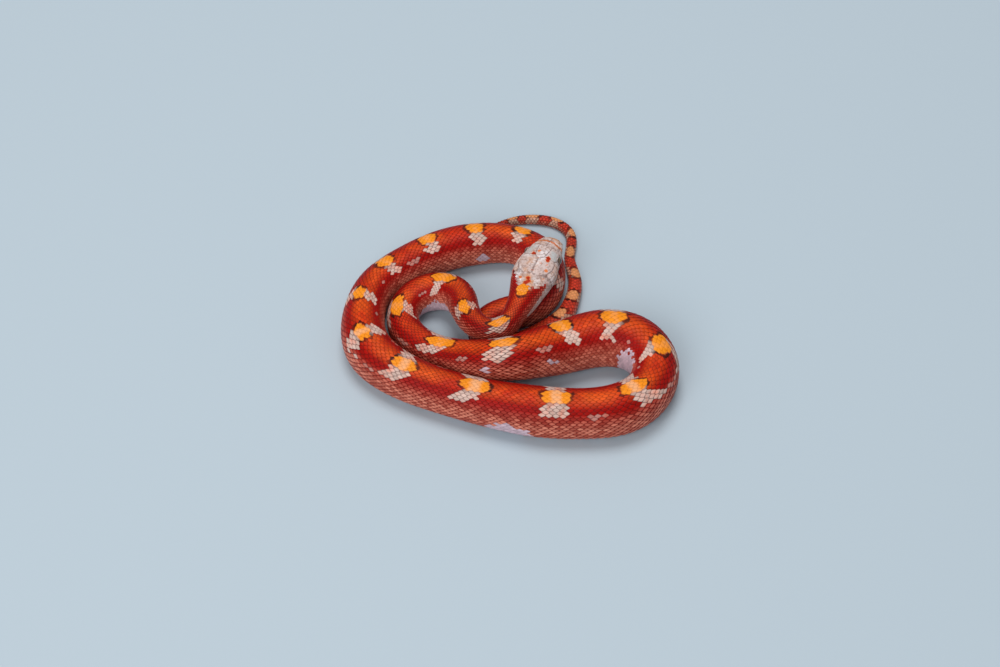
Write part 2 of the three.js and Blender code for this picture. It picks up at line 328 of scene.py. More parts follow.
def frame_at(distance):
    """Middle, direction, side, up and half width at distances from the snout."""
    d = np.clip(distance, 0, BODY_LENGTH - 1e-6)
    low = np.searchsorted(TRACE_DISTANCE, d, side="right") - 1
    high = low + 1
    last = len(TRACE) - 1
    t = (d - TRACE_DISTANCE[low]) / (TRACE_DISTANCE[high] - TRACE_DISTANCE[low])
    row = TRACE[low] + t[..., None] * (TRACE[high] - TRACE[low])
    before = TRACE[np.maximum(low - TRACE_WINDOW, 0), :3] * (1 - t[..., None])
    before = before + TRACE[np.maximum(low + 1 - TRACE_WINDOW, 0), :3] * t[..., None]
    after = TRACE[np.minimum(low + TRACE_WINDOW, last), :3] * (1 - t[..., None])
    after = after + TRACE[np.minimum(low + 1 + TRACE_WINDOW, last), :3] * t[..., None]
    along = unit(after - before)
    side = unit(np.cross(along, np.array([0.0, 0.0, 1.0])))
    return row[..., :3], along, side, np.cross(side, along), row[..., 3]


def placed(distance, to_side, to_up):
    """Points in the snake, by distance from the snout and offsets to the side and up."""
    d = np.atleast_1d(np.asarray(distance, float))
    middle, along, side, up, _ = frame_at(d)
    return middle + along * np.minimum(d, 0)[:, None] + side * to_side + up * to_up


def coat_depth(distance):
    """How far the skin lies inside the solids."""
    own = frame_at(distance)[4]
    return PLATE_DEPTH + smoothstep(distance, *COAT_CHANGE) * (COAT_SHARE * own - PLATE_DEPTH)


def section(distance):
    """Half width, height above, depth below and squareness of the back at distances."""
    blend = smoothstep(distance, HEAD_END - HEAD_BLEND, HEAD_END)
    own = frame_at(distance)[4]
    width = read_smooth(HEAD_OUTLINE, distance, 1) * (1 - blend) + blend * own
    above = read_smooth(HEAD_OUTLINE, distance, 2) * (1 - blend) + blend * own
    below = read_smooth(HEAD_OUTLINE, distance, 3) * (1 - blend) + blend * own * BELLY_DEPTH
    back = HEAD_SQUARENESS + blend * (BACK_SQUARENESS - HEAD_SQUARENESS)
    return width, above, below, back


def surface(distance, angle, lift=0.0):
    """Points on the outline of the solids, raised by lift, with the angle counted from the back."""
    distance, angle, lift = np.broadcast_arrays(np.asarray(distance, float), angle, lift)
    width, above, below, back = section(distance)
    sideways = np.sin(angle)
    upward = np.cos(angle)
    power = np.where(upward > 0, back, BELLY_SQUARENESS)
    reach = (np.abs(sideways) ** power + np.abs(upward) ** power) ** (-1 / power)
    tall = np.where(upward > 0, above, below)
    x = sideways * reach
    y = upward * reach
    slope_x = np.sign(x) * np.abs(x) ** (power - 1) / width
    slope_y = np.sign(y) * np.abs(y) ** (power - 1) / tall
    length = np.maximum(np.hypot(slope_x, slope_y), 1e-9)
    middle, _, side, up, _ = frame_at(distance)
    across = (width * x + lift * slope_x / length)[..., None]
    raised = (tall * y + lift * slope_y / length)[..., None]
    point = middle + side * across + up * raised
    point[..., 2] = np.maximum(point[..., 2], np.maximum(-lift, 0))
    return point


def strip_of(distance):
    """The strip of the bake map that a distance falls in."""
    return np.floor(np.clip(distance / BODY_LENGTH, 0, LAST_SHARE) * UNWRAP_STRIPS)


def across_strip(strip, around):
    """The height on the bake map of a share of the way round the body."""
    return (strip + UNWRAP_MARGIN + (1 - 2 * UNWRAP_MARGIN) * around) / UNWRAP_STRIPS


def unwrap(distance, angle):
    """Place on a flat unwrap of the skin, folded into a few long strips."""
    share = np.clip(distance / BODY_LENGTH, 0, LAST_SHARE) * UNWRAP_STRIPS
    strip = strip_of(distance)
    around = np.mod(angle / (2 * math.pi) + 0.5, 1.0)
    return np.stack([share - strip, across_strip(strip, around)], axis=-1)


def noise(values, seed):
    """A repeatable value from 0 to 1 for each number."""
    return np.mod(np.sin(values * 12.9898 + seed * 78.233) * 43758.5453, 1.0)


# Markings

# Spots on the crown: distance, angle, half width in millimetres and how dark
CROWN_SPOTS = [
    (11.0, 0.34, 0.52, 1.0), (9.5, 0.16, 0.40, 0.5), (11.2, -0.44, 0.62, 1.0), (12.2, -0.45, 0.55, 1.0),
    (13.9, -0.52, 0.24, 1.0), (17.5, 0.0, 0.28, 0.9), (16.2, -0.58, 0.55, 0.4), (21.0, 0.46, 0.5, 0.4),
    (20.8, 0.06, 0.62, 0.75), (21.8, -0.04, 0.62, 0.75), (22.6, 0.08, 0.7, 0.75), (23.6, 0.12, 0.6, 0.75),
    (12.4, 0.02, 0.3, 0.3), (14.2, -0.2, 0.3, 0.2), (19.3, -0.66, 0.3, 0.25), (21.3, -0.95, 0.28, 0.5),
    (24.6, -1.12, 0.25, 0.5),
]
BAND_PLACE = 4.2
BAND_HALF = 0.62
BAND_END = 1.3
BROW_PLACE = 9.4
BROW_HALF = 2.2
BROW_TURN = 0.68
BROW_WIDTH = 0.28
BROW_STRENGTH = 0.8

# Where the red of the neck begins: on the nape, in a notch on each side, deeper on the left, and along
# the cheek, where a pale band runs back
NAPE_END = 24.6
NOTCH_TURN = 1.05
NOTCH_WIDTH = 0.34
NOTCH_DEPTH = 4.6
LEFT_NOTCH_DEPTH = 2.0
CHEEK_TURN = 1.1
CHEEK_START = 21
CHEEK_SLOPE = 14.5
PALE_CHEEK_END = 30.5
NAPE_SADDLE_START = 23.0

# Saddles and what lies round them
SADDLE_SQUARENESS = 2.3
SADDLE_BLUR = 0.12
ROOT_SHARE = 0.45
EDGE_PLACE = 0.42
EDGE_HALF = 0.46
BLOTCH_RANGE = (60, 405)
BLOTCH_CHANCE = 0.35
BLOTCH_STRENGTH = 0.45
TAIL_CHANGE = (405, 436)
PALE_BELLY_TURN = 2.42


def head_marks(distance, angle):
    """Masks on the head: band, spots by how red they are, and the pale brows."""
    a = np.abs(angle)
    ragged = 0.16 * np.sin(angle * 9 + 1.3) + 0.10 * np.sin(angle * 23)
    band_at = BAND_PLACE - 0.55 * np.exp(-(angle / 0.3) ** 2) + 0.35 * a + ragged
    band = smoothstep(BAND_HALF - np.abs(distance - band_at), 0, 0.3) * smoothstep(BAND_END - a, 0, 0.2)
    spots = np.zeros_like(distance)
    girth = section(np.clip(distance, 1, BODY_LENGTH))[0]
    for where, turn, size, dark in CROWN_SPOTS:
        away = np.hypot(distance - where, (angle - turn) * girth)
        away = away + 0.08 * np.sin(distance * 7 + angle * 31)
        spots = np.maximum(spots, dark * smoothstep(size - away, -0.16, 0.1))
    brow = smoothstep(BROW_WIDTH - np.abs(a - BROW_TURN - 0.03 * (distance - BROW_PLACE)), 0.0, 0.16)
    brow = brow * smoothstep(BROW_HALF - np.abs(distance - BROW_PLACE), 0, 1.0)
    return band, spots, BROW_STRENGTH * brow


def head_share(distance, angle):
    """How far the pale head reaches back: a V on the nape and a long band down each cheek."""
    a = np.abs(angle - 0.05)
    red_from = NAPE_END - 0.5 * a - NOTCH_DEPTH * np.exp(-((a - NOTCH_TURN) / NOTCH_WIDTH) ** 2)
    cheek = np.minimum(CHEEK_START + CHEEK_SLOPE * (a - CHEEK_TURN), PALE_CHEEK_END)
    red_from = np.where(a > CHEEK_TURN, cheek, red_from)
    left_red = smoothstep(angle, 0.35, 0.75) * (1 - smoothstep(angle, 1.55, 1.85))
    red_from = red_from - LEFT_NOTCH_DEPTH * left_red
    return 1 - smoothstep(distance, red_from - 0.4, red_from + 0.4)


def pale_side(distance, angle, wobble):
    """Where the white and lavender of the belly reaches up the side."""
    a = np.abs(angle)
    wave = 0.5 + 0.5 * np.sin(distance * 0.23 + 1.7 * np.sign(angle)) * np.sin(distance * 0.071 + 0.6)
    pale = (a + 0.08 * wobble > PALE_BELLY_TURN - 0.14 * wave).astype(float) * (0.35 + 0.65 * wave)
    for where, half, low, high in PALE_SIDES:
        share = np.abs(distance - where) / half
        margin = 0.16 * wobble + 0.45 * share**3
        inside = (angle > low + margin * (low > 0)) & (angle < high - margin * (low < 0))
        pale = np.maximum(pale, (inside & (share + 0.1 * wobble < 1)) * 1.0)
    return pale


def nearest_saddle(distance):
    """The number of the saddle nearest to each distance."""
    middles = 0.5 * (SADDLES[1:, 0] + SADDLES[:-1, 0])
    return np.searchsorted(middles, distance)


def marks(distance, angle, wobble):
    """How each point lies to its nearest saddle.

    The outline is 1 at the saddle's edge. The others are its half length, the grey patch below it, the
    faint blotch between it and the next, nearness to its front and rear ends, the dark line beside its
    patch, and its pale middle.
    """
    number = nearest_saddle(distance)
    where, half, _, turn, drift, reach = SADDLES[number].T
    turned = angle - np.interp(distance, SADDLES[:, 0], SADDLES[:, 2])
    m = np.abs(turned)
    along = (distance - where) / half
    uneven = 0.07 * np.sin(5.1 * np.arctan2(turned / turn, along) + number * 2.3)
    power = SADDLE_SQUARENESS
    outline = (np.abs(along) ** power + (m / turn) ** power) ** (1 / power) - uneven - 0.08 * wobble
    lower = np.clip((m - turn) / np.maximum(reach - turn, 0.1), 0, 1)
    patch_half = 0.62 * half + 0.45 + 0.4 * wobble + 0.35 * np.sin(5 * lower + number)
    off = np.abs(distance - where - drift * lower) - patch_half
    before = SADDLES[np.maximum(number - 1, 0), 0]
    after = SADDLES[np.minimum(number + 1, len(SADDLES) - 1), 0]
    other = np.where(along > 0, after, before)
    lot = noise(np.minimum(where, other) * 0.37 + np.sign(turned), BLOTCH_SEED)
    spread = np.maximum(np.abs(other - where), 1) * (0.10 + 0.07 * lot)
    centre = where + (other - where) * (0.42 + 0.2 * lot)
    blotch_off = np.hypot((distance - centre) / spread, (m - BLOTCH_TURN) / 0.12)
    blotch = (blotch_off < 1 + 0.3 * wobble) & (lot > BLOTCH_CHANCE)
    middle = smoothstep(0.62 - np.abs(along), 0.0, 0.5)
    return {
        "outline": outline,
        "half": half,
        "patch": (off < 0) & (m > turn * 0.8) & (m < reach + 0.08 * wobble),
        "blotch": blotch & (distance > BLOTCH_RANGE[0]) & (distance < BLOTCH_RANGE[1]),
        "ends": smoothstep(np.abs(along) / np.maximum(outline, 0.1), 0.35, 0.8),
        "beside": smoothstep(0.5 - np.abs(off), 0, 0.3) * (m > turn) * (m < reach) * 0.3,
        "middle": middle * np.where((number >= PALE_MIDDLES[0]) & (number <= PALE_MIDDLES[1]), 1.0, 0.4),
    }


def paint(distance, angle, root_distance, root_angle, wobble, chance):
    """The colour attributes of points that belong to roots: marks, place, tone and tail.

    Marks hold the saddle, the grey patch and the dark edge, and on the head the spots and the band.
    Place holds how far down the flank a point lies, the share of pale head and the share of pale
    brow or belly.
    """
    root = marks(root_distance, root_angle, wobble)
    point = marks(distance, angle, wobble)
    gap = (ROOT_SHARE * root["outline"] + (1 - ROOT_SHARE) * point["outline"] - 1) * root["half"]
    saddle = smoothstep(-gap, -SADDLE_BLUR, SADDLE_BLUR)
    edge = smoothstep(EDGE_HALF - np.abs(gap - EDGE_PLACE), 0, 0.2) * (0.3 + 0.7 * point["ends"])
    edge = np.maximum(edge, point["beside"] * (1 - root["patch"])) * (0.65 + 0.35 * chance)
    band, spots, brow = head_marks(distance, angle)
    head = head_share(root_distance + 0.7 * wobble, root_angle)
    head = np.where((root_distance > NAPE_SADDLE_START) & (saddle > 0.5), 0.0, head)
    crown = head > 0.5
    belly = pale_side(root_distance, root_angle, wobble) * (root_distance > 24)
    flank = np.clip(np.abs(angle) / PLATE_EDGE, 0, 1)
    grey = np.maximum(root["patch"], root["blotch"] * BLOTCH_STRENGTH) * (1 - saddle)
    first = np.where(crown, spots, saddle)
    second = np.where(crown, band, grey)
    third = np.where(crown | (root_distance < 22), 0.0, edge)
    saddle_tone = np.clip(0.10 + 0.75 * point["middle"] + 0.3 * (chance - 0.35), 0, 1)
    return {
        "marks": np.stack([first, second, third], axis=-1),
        "place": np.stack([flank, head, np.where(crown, brow, belly)], axis=-1),
        "tone": np.where(crown, chance, chance + saddle * (saddle_tone - chance)),
        "tail": smoothstep(root_distance, *TAIL_CHANGE),
    }


# Meshes

def add_object(name, data):
    piece = bpy.data.objects.new(name, data)
    bpy.context.scene.collection.objects.link(piece)
    return piece


def make_mesh(name, vertices, faces, uvs, attributes):
    """A mesh from millimetre vertices and a list of face arrays, with the bake map and masks."""
    mesh = bpy.data.meshes.new(name)
    vertices = np.asarray(vertices, float) * MM
    mesh.vertices.add(len(vertices))
    mesh.vertices.foreach_set("co", vertices.ravel())
    sizes = np.concatenate([np.full(len(f), f.shape[1]) for f in faces])
    starts = np.concatenate([[0], np.cumsum(sizes)[:-1]])
    loops = np.concatenate([f.ravel() for f in faces])
    mesh.loops.add(len(loops))
    mesh.loops.foreach_set("vertex_index", loops.astype(np.int32))
    mesh.polygons.add(len(sizes))
    mesh.polygons.foreach_set("loop_start", starts.astype(np.int32))
    mesh.update(calc_edges=True)
    mesh.polygons.foreach_set("use_smooth", np.ones(len(sizes), bool))
    set_bake_map(mesh, uvs)
    for key, values in attributes.items():
        store(mesh, key, values)
    mesh.validate()
    return add_object(name, mesh)


def set_bake_map(mesh, uvs):
    layer = mesh.uv_layers.new(name="OFBake")
    layer.data.foreach_set("uv", np.asarray(uvs, np.float32).ravel())


def store(mesh, key, values):
    """Keeps numbers or vectors on a mesh's points."""
    values = np.asarray(values, np.float32)
    kind = "FLOAT" if values.ndim == 1 else "FLOAT_VECTOR"
    layer = mesh.attributes.new(key, kind, "POINT")
    layer.data.foreach_set("value" if values.ndim == 1 else "vector", values.ravel())


def read_values(mesh, key, width=1):
    """The numbers kept on a mesh's points, or the vectors where the width is 3."""
    values = np.empty(len(mesh.vertices) * width, np.float32)
    mesh.attributes[key].data.foreach_get("value" if width == 1 else "vector", values)
    values = values.astype(float)
    return values if width == 1 else values.reshape(-1, width)


def grid_faces(rows, sides, rows_close=False, sides_close=True):
    """Four-cornered faces over rows of points, where either way may close on itself."""
    row_steps = np.arange(rows if rows_close else rows - 1)
    side_steps = np.arange(sides if sides_close else sides - 1)
    i, k = np.meshgrid(row_steps, side_steps, indexing="ij")
    next_row = (i + 1) % rows
    next_side = (k + 1) % sides
    corners = [i * sides + k, i * sides + next_side, next_row * sides + next_side, next_row * sides + k]
    return np.stack(corners, axis=-1).reshape(-1, 4)


def fan_faces(sides, first, pole, turned=False):
    """Triangles between a pole and a ring of points, facing the other way where turned."""
    ring = first + np.arange(sides)
    after = first + (np.arange(sides) + 1) % sides
    pair = (after, ring) if turned else (ring, after)
    return np.stack([np.full(sides, pole), *pair], axis=-1)


def finish_piece(piece, material, slot, *nodes):
    piece.data.materials.clear()
    piece.data.materials.append(material)
    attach(piece, "root")
    if nodes:
        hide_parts(*nodes)
    return piece


# Materials

def new_material(name):
    material = bpy.data.materials.new(name)
    material.use_nodes = True
    tree = material.node_tree
    tree.nodes.clear()
    output = tree.nodes.new("ShaderNodeOutputMaterial")
    shader = tree.nodes.new("ShaderNodeBsdfPrincipled")
    tree.links.new(shader.outputs["BSDF"], output.inputs["Surface"])
    return material, tree, shader


def value_of(tree, socket, value):
    if isinstance(value, bpy.types.NodeSocket):
        tree.links.new(value, socket)
    else:
        socket.default_value = value


def mix(tree, factor, first, second, blend="MIX"):
    """The first colour, turning into the second as the factor rises."""
    node = tree.nodes.new("ShaderNodeMix")
    node.data_type = "RGBA"
    node.blend_type = blend
    node.clamp_factor = True
    value_of(tree, node.inputs[0], factor)
    value_of(tree, node.inputs[6], first)
    value_of(tree, node.inputs[7], second)
    return node.outputs[2]


def math_node(tree, operation, *values):
    node = tree.nodes.new("ShaderNodeMath")
    node.operation = operation
    for socket, value in zip(node.inputs, values):
        value_of(tree, socket, value)
    return node.outputs[0]


def times(tree, first, second):
    """The product of two masks."""
    return math_node(tree, "MULTIPLY", first, second)


def remap(tree, value, low, high, to_low=0.0, to_high=1.0):
    """A value's range from low to high moved to another range, and kept inside it."""
    node = tree.nodes.new("ShaderNodeMapRange")
    value_of(tree, node.inputs["Value"], value)
    node.inputs["From Min"].default_value = low
    node.inputs["From Max"].default_value = high
    node.inputs["To Min"].default_value = to_low
    node.inputs["To Max"].default_value = to_high
    return node.outputs["Result"]


def object_noise(tree, scale, detail=3.0, roughness=0.55):
    """Noise on the object's own coordinates."""
    place = tree.nodes.new("ShaderNodeTexCoord")
    node = tree.nodes.new("ShaderNodeTexNoise")
    node.inputs["Scale"].default_value = scale
    node.inputs["Detail"].default_value = detail
    node.inputs["Roughness"].default_value = roughness
    tree.links.new(place.outputs["Object"], node.inputs["Vector"])
    return node.outputs["Fac"]


def attribute(tree, key, output="Color"):
    node = tree.nodes.new("ShaderNodeAttribute")
    node.attribute_name = key
    return node.outputs[output]


def separate(tree, colour):
    node = tree.nodes.new("ShaderNodeSeparateColor")
    value_of(tree, node.inputs[0], colour)
    return node.outputs[0], node.outputs[1], node.outputs[2]


def make_group(name, inputs, outputs):
    """A shader node group with its inputs, by name, kind and value, and its outputs."""
    group = bpy.data.node_groups.new(name, "ShaderNodeTree")
    for key, kind, value in inputs:
        group.interface.new_socket(name=key, in_out="INPUT", socket_type=kind).default_value = value
    for key, kind in outputs:
        group.interface.new_socket(name=key, in_out="OUTPUT", socket_type=kind)
    return group, group.nodes.new("NodeGroupInput"), group.nodes.new("NodeGroupOutput")


# Noise on the object's own coordinates, from broad clouds to fine specks
WIDE_NOISE = 120
CLOUD_NOISE = 260
MIDDLING_NOISE = 420
FINE_NOISE = 1300
SPECK_NOISE = 2100


def make_colouring():
    """The snake's markings, with painted shade on the upper flanks and in the grooves between scales, as a shader
    node group, shared by the skin and all that lies over it.
    """
    group, inside, outside = make_group(
        "snake_colouring",
        [("Marks", "NodeSocketColor", (0, 0, 0, 1)), ("Place", "NodeSocketColor", (0, 0, 0, 1)),
         ("Rim", "NodeSocketFloat", 0.0), ("Tone", "NodeSocketFloat", 0.5), ("Tail", "NodeSocketFloat", 0.0)],
        [("Colour", "NodeSocketColor"), ("Groove", "NodeSocketFloat")],
    )
    saddle, patch, edge = separate(group, inside.outputs["Marks"])
    flank, head, pale = separate(group, inside.outputs["Place"])
    rim, tone, tail = (inside.outputs[key] for key in ("Rim", "Tone", "Tail"))
    wide = object_noise(group, WIDE_NOISE, 2.0)
    middling = object_noise(group, MIDDLING_NOISE, 3.0)
    fine = object_noise(group, FINE_NOISE, 4.0, 0.65)

    # The body: back, deep red zone and flank, then saddles, patches, dark edges and belly. The deep red zone is
    # partly the snake's darker band and partly painted shade of the upper flanks
    back = mix(group, remap(group, wide, 0.35, 0.65), BACK_RED, BACK_ORANGE)
    ground = mix(group, remap(group, flank, 0.07, 0.26), back, DEEP_RED_AND_SHADE)
    ground = mix(group, remap(group, flank, 0.50, 0.74), ground, FLANK_RED)
    ground = mix(group, tail, ground, TAIL_RED)
    low = times(group, remap(group, flank, 0.36, 0.66), remap(group, rim, 0.0, 0.7, 1.0, 0.0))
    ground = mix(group, times(group, low, remap(group, tone, 0.0, 0.85, 0.3, 0.95)), ground, FLANK_PALE)
    orange = mix(group, remap(group, tone, 0.3, 0.95), SADDLE_ORANGE, SADDLE_PALE)
    orange = mix(group, times(group, tail, 0.8), orange, TAIL_PEACH)
    colour = mix(group, saddle, ground, orange)
    grey = mix(group, remap(group, middling, 0.45, 0.75), PATCH_GREY, FLANK_PALE)
    grey = mix(group, times(group, tail, 0.45), grey, TAIL_PEACH)
    colour = mix(group, patch, colour, grey)
    colour = mix(group, edge, colour, EDGE_DARK)
    colour = mix(group, times(group, pale, 0.9), colour, BELLY_LAVENDER)

    # The head: pale clouds, mottling, tan and specks, then brows, band and spots
    white = remap(group, object_noise(group, CLOUD_NOISE, 2.0, 0.5), 0.48, 0.62, 0.0, 0.75)
    crown = mix(group, white, HEAD_PALE, HEAD_WHITE)
    crown = mix(group, remap(group, fine, 0.46, 0.68, 0.0, 0.85), crown, HEAD_MOTTLE)
    tan = times(group, remap(group, wide, 0.44, 0.58), remap(group, middling, 0.40, 0.58))
    crown = mix(group, times(group, tan, 0.8), crown, HEAD_TAN)
    specks = remap(group, object_noise(group, SPECK_NOISE, 2.0), 0.60, 0.68)
    specks = times(group, specks, remap(group, middling, 0.35, 0.6, 0.15, 1.0))
    crown = mix(group, times(group, specks, 0.6), crown, EDGE_DARK)
    crown = mix(group, times(group, pale, remap(group, fine, 0.4, 0.6, 0.95, 0.6)), crown, BROW_BLUE)
    banded = mix(group, remap(group, fine, 0.42, 0.58), SPOT_ORANGE, BAND_BROWN)
    crown = mix(group, times(group, patch, 0.9), crown, banded)
    crown = mix(group, remap(group, saddle, 0.05, 0.35, 0.0, 0.9), crown, SPOT_ORANGE)
    crown = mix(group, remap(group, saddle, 0.5, 0.75), crown, SPOT_RED)
    colour = mix(group, head, colour, crown)

    # The lightness of each scale, and the dark line round it, weaker on the head, the belly and saddles. The dark
    # line is partly the snake's darker skin and partly painted shade in the grooves between scales
    shade = remap(group, tone, 0.0, 1.0, 0.82, 1.12)
    shaded = group.nodes.new("ShaderNodeCombineColor")
    for k in range(3):
        group.links.new(shade, shaded.inputs[k])
    colour = mix(group, 1.0, colour, shaded.outputs[0], "MULTIPLY")
    bare = math_node(group, "MAXIMUM", times(group, head, 0.68), times(group, pale, 0.5))
    bare = math_node(group, "MAXIMUM", bare, times(group, saddle, 0.55))
    groove = math_node(group, "SUBTRACT", 1.0, bare)
    line = remap(group, math_node(group, "ADD", rim, times(group, tail, 0.05)), 0.15, 0.8)
    colour = mix(group, times(group, times(group, line, groove), 0.88), colour, GROOVE_SKIN_AND_SHADE)
    group.links.new(colour, outside.inputs["Colour"])
    group.links.new(groove, outside.inputs["Groove"])
    return group


def make_relief():
    """Fine grain over skin and scales, as a height for a Bump node."""
    group, inside, outside = make_group(
        "scale_grain", [("Grain", "NodeSocketFloat", 4000.0)], [("Height", "NodeSocketFloat")])
    place = group.nodes.new("ShaderNodeTexCoord")
    grain = group.nodes.new("ShaderNodeTexNoise")
    group.links.new(place.outputs["Object"], grain.inputs["Vector"])
    group.links.new(inside.outputs["Grain"], grain.inputs["Scale"])
    group.links.new(grain.outputs["Fac"], outside.inputs["Height"])
    return group


COLOURING = make_colouring()
RELIEF = make_relief()
GRAIN_STRENGTH = 0.25
GRAIN_HEIGHT = 0.00004
GLOSS_NOISE = 700
SCALE_SPECULAR = 0.09


def snake_material(name, roughness, darken=0.0, grain=3500.0):
    """A finish of the snake, with the shared markings and grain. Darken paints shade over the skin seen in the
    gaps between scales, on top of that skin's darker colour.
    """
    material, tree, shader = new_material(name)
    markings = tree.nodes.new("ShaderNodeGroup")
    markings.node_tree = COLOURING
    for key, output in (("Marks", "Color"), ("Place", "Color"), ("Rim", "Fac"), ("Tone", "Fac"), ("Tail", "Fac")):
        tree.links.new(attribute(tree, key.lower(), output), markings.inputs[key])
    # Painted shade: the skin seen in the gaps between scales is darkened towards the groove colour
    share = times(tree, markings.outputs["Groove"], darken)
    colour = mix(tree, share, markings.outputs["Colour"], GROOVE_SKIN_AND_SHADE)
    tree.links.new(colour, shader.inputs["Base Color"])
    relief = tree.nodes.new("ShaderNodeGroup")
    relief.node_tree = RELIEF
    relief.inputs["Grain"].default_value = grain
    bump = tree.nodes.new("ShaderNodeBump")
    bump.inputs["Strength"].default_value = GRAIN_STRENGTH
    bump.inputs["Distance"].default_value = GRAIN_HEIGHT
    tree.links.new(relief.outputs["Height"], bump.inputs["Height"])
    tree.links.new(bump.outputs["Normal"], shader.inputs["Normal"])
    gloss = remap(tree, object_noise(tree, GLOSS_NOISE, 2.0), 0.3, 0.7, roughness - 0.05, roughness + 0.07)
    tree.links.new(gloss, shader.inputs["Roughness"])
    shader.inputs["Specular IOR Level"].default_value = SCALE_SPECULAR
    return material


# The skin under the scales

SKIN_STEP = 0.6
SKIN_SIDES = 56


SNOUT_RINGS = [0, 0.12, 0.3, 0.55, 0.85, 1.2, 1.6]
SNOUT_END = 2.1
SNOUT_TIP = 0.9


def ring_distances():
    """Distances of the skin's rings, closer together at the snout."""
    count = round((BODY_LENGTH - SNOUT_END) / SKIN_STEP)
    return np.concatenate([SNOUT_RINGS, np.linspace(SNOUT_END, BODY_LENGTH, count)])


def skin_map(distances):
    """The bake map at the corners of the skin's four-cornered faces, ring by ring."""
    i, k = np.meshgrid(np.arange(len(distances) - 1), np.arange(SKIN_SIDES), indexing="ij")
    strip = strip_of(distances[i])
    corners = []
    for ring, step in ((i, 0), (i, 1), (i + 1, 1), (i + 1, 0)):
        share = distances[ring] / BODY_LENGTH * UNWRAP_STRIPS - strip
        around = (k + 0.5 + step) / SKIN_SIDES
        height = across_strip(strip, np.clip(around, 0, 1))
        corners.append(np.stack([np.clip(share, 0, 1), height], axis=-1))
    return np.stack(corners, axis=2).reshape(-1, 2)


def make_skin(material):
    """One skin from the snout to the tip of the tail, inside the solids by the coat's depth."""
    distances = ring_distances()
    rings = len(distances)
    angles = -math.pi + 2 * math.pi * (np.arange(SKIN_SIDES) + 0.5) / SKIN_SIDES
    d, a = np.meshgrid(distances, angles, indexing="ij")
    depth = coat_depth(d)
    inset = np.where(d < SNOUT_TIP, depth * 0.5, depth)
    points = surface(d, a, -np.minimum(inset, 0.4 * section(d)[0]))
    middle = points.mean(axis=1)
    vertices = np.concatenate([points.reshape(-1, 3), middle[:1], middle[-1:]])
    pole = rings * SKIN_SIDES
    faces = [
        grid_faces(rings, SKIN_SIDES),
        fan_faces(SKIN_SIDES, 0, pole, turned=True),
        fan_faces(SKIN_SIDES, (rings - 1) * SKIN_SIDES, pole + 1),
    ]
    cap_uv = np.tile(np.array([[0.0, 0.0], [0.001, 0.0], [0.0, 0.001]]), (2 * SKIN_SIDES, 1))
    flat_d = np.concatenate([d.ravel(), [0, BODY_LENGTH]])
    flat_a = np.concatenate([a.ravel(), [0, 0]])
    colours = paint(flat_d, flat_a, flat_d, flat_a, np.zeros(len(flat_d)), np.full(len(flat_d), 0.4))
    # The whole skin carries the dark groove line, partly painted shade in the gaps between scales
    colours["rim"] = np.full(len(vertices), 0.7)
    skin = make_mesh("skin", vertices, faces, np.concatenate([skin_map(distances), cap_uv]), colours)
    flesh = [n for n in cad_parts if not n.startswith("eye")]
    return finish_piece(skin, material, "torso_skin", *flesh)


# Scales

SCALE_SIDES = 12
SCALE_POINTEDNESS = 1.12
SCALE_WIDEST = 0.64
SCALE_TOP = 1.12
SCALE_RINGS = [(0.45, 0.96), (0.78, 0.76), (0.95, 0.30), (1.0, -0.6)]
KEEL_HEIGHT = 0.14
KEEL_WIDTH = 0.12
SCALE_TUCK = 0.12
# Width of each scale's dark rim, which is partly painted shade where the scale meets the next
RIM_WIDTH = 0.32
SCALE_HEIGHT = 0.52
TIP_DEPTH = 0.54
NUDGE = 0.2
ANGLE_NUDGE = 0.02
SCALE_COLUMNS = range(-18, 19)
SCALE_PIECES = [
    ("neck_scales", 18.0, 85.0, "neck_skin"),
    ("front_scales", 85.0, 185.0, "torso_skin"),
    ("middle_scales", 185.0, 290.0, "torso_skin"),
    ("rear_scales", 290.0, 395.0, "torso_skin"),
    ("tail_scales", 395.0, 500.0, "tail_skin"),
]


def scale_template():
    """One domed, slightly keeled scale: a unit long, a unit wide and a unit high, rooted at zero."""
    turns = 2 * math.pi * np.arange(SCALE_SIDES) / SCALE_SIDES
    x = np.sin(turns)
    y = -np.cos(turns)
    reach = (np.abs(x) ** SCALE_POINTEDNESS + np.abs(y) ** SCALE_POINTEDNESS) ** (-1 / SCALE_POINTEDNESS)
    points = [(0.0, SCALE_WIDEST, SCALE_TOP)]
    inner = [0.0]
    half_length = np.where(y > 0, 1 - SCALE_WIDEST, SCALE_WIDEST)
    for share, height in SCALE_RINGS:
        for px, py in zip(x * reach, y * reach * half_length):
            keel = KEEL_HEIGHT * math.exp(-((px * share) / KEEL_WIDTH) ** 2) * (1 - share)
            points.append((0.5 * px * share, SCALE_WIDEST + py * share, height + keel))
            inner.append(share)
    faces = [(0, 1 + k, 1 + (k + 1) % SCALE_SIDES) for k in range(SCALE_SIDES)]
    for r in range(len(SCALE_RINGS) - 1):
        for k in range(SCALE_SIDES):
            a = 1 + r * SCALE_SIDES + k
            b = 1 + r * SCALE_SIDES + (k + 1) % SCALE_SIDES
            faces.append((a, a + SCALE_SIDES, b + SCALE_SIDES))
            faces.append((a, b + SCALE_SIDES, b))
    mesh = bpy.data.meshes.new("scale_template")
    mesh.from_pydata([tuple(p) for p in points], [], faces)
    mesh.polygons.foreach_set("use_smooth", np.ones(len(mesh.polygons), bool))
    store(mesh, "share", np.array(inner))
    store(mesh, "patch_place", np.array(points))
    mesh.update()
    return add_object("scale_template", mesh)


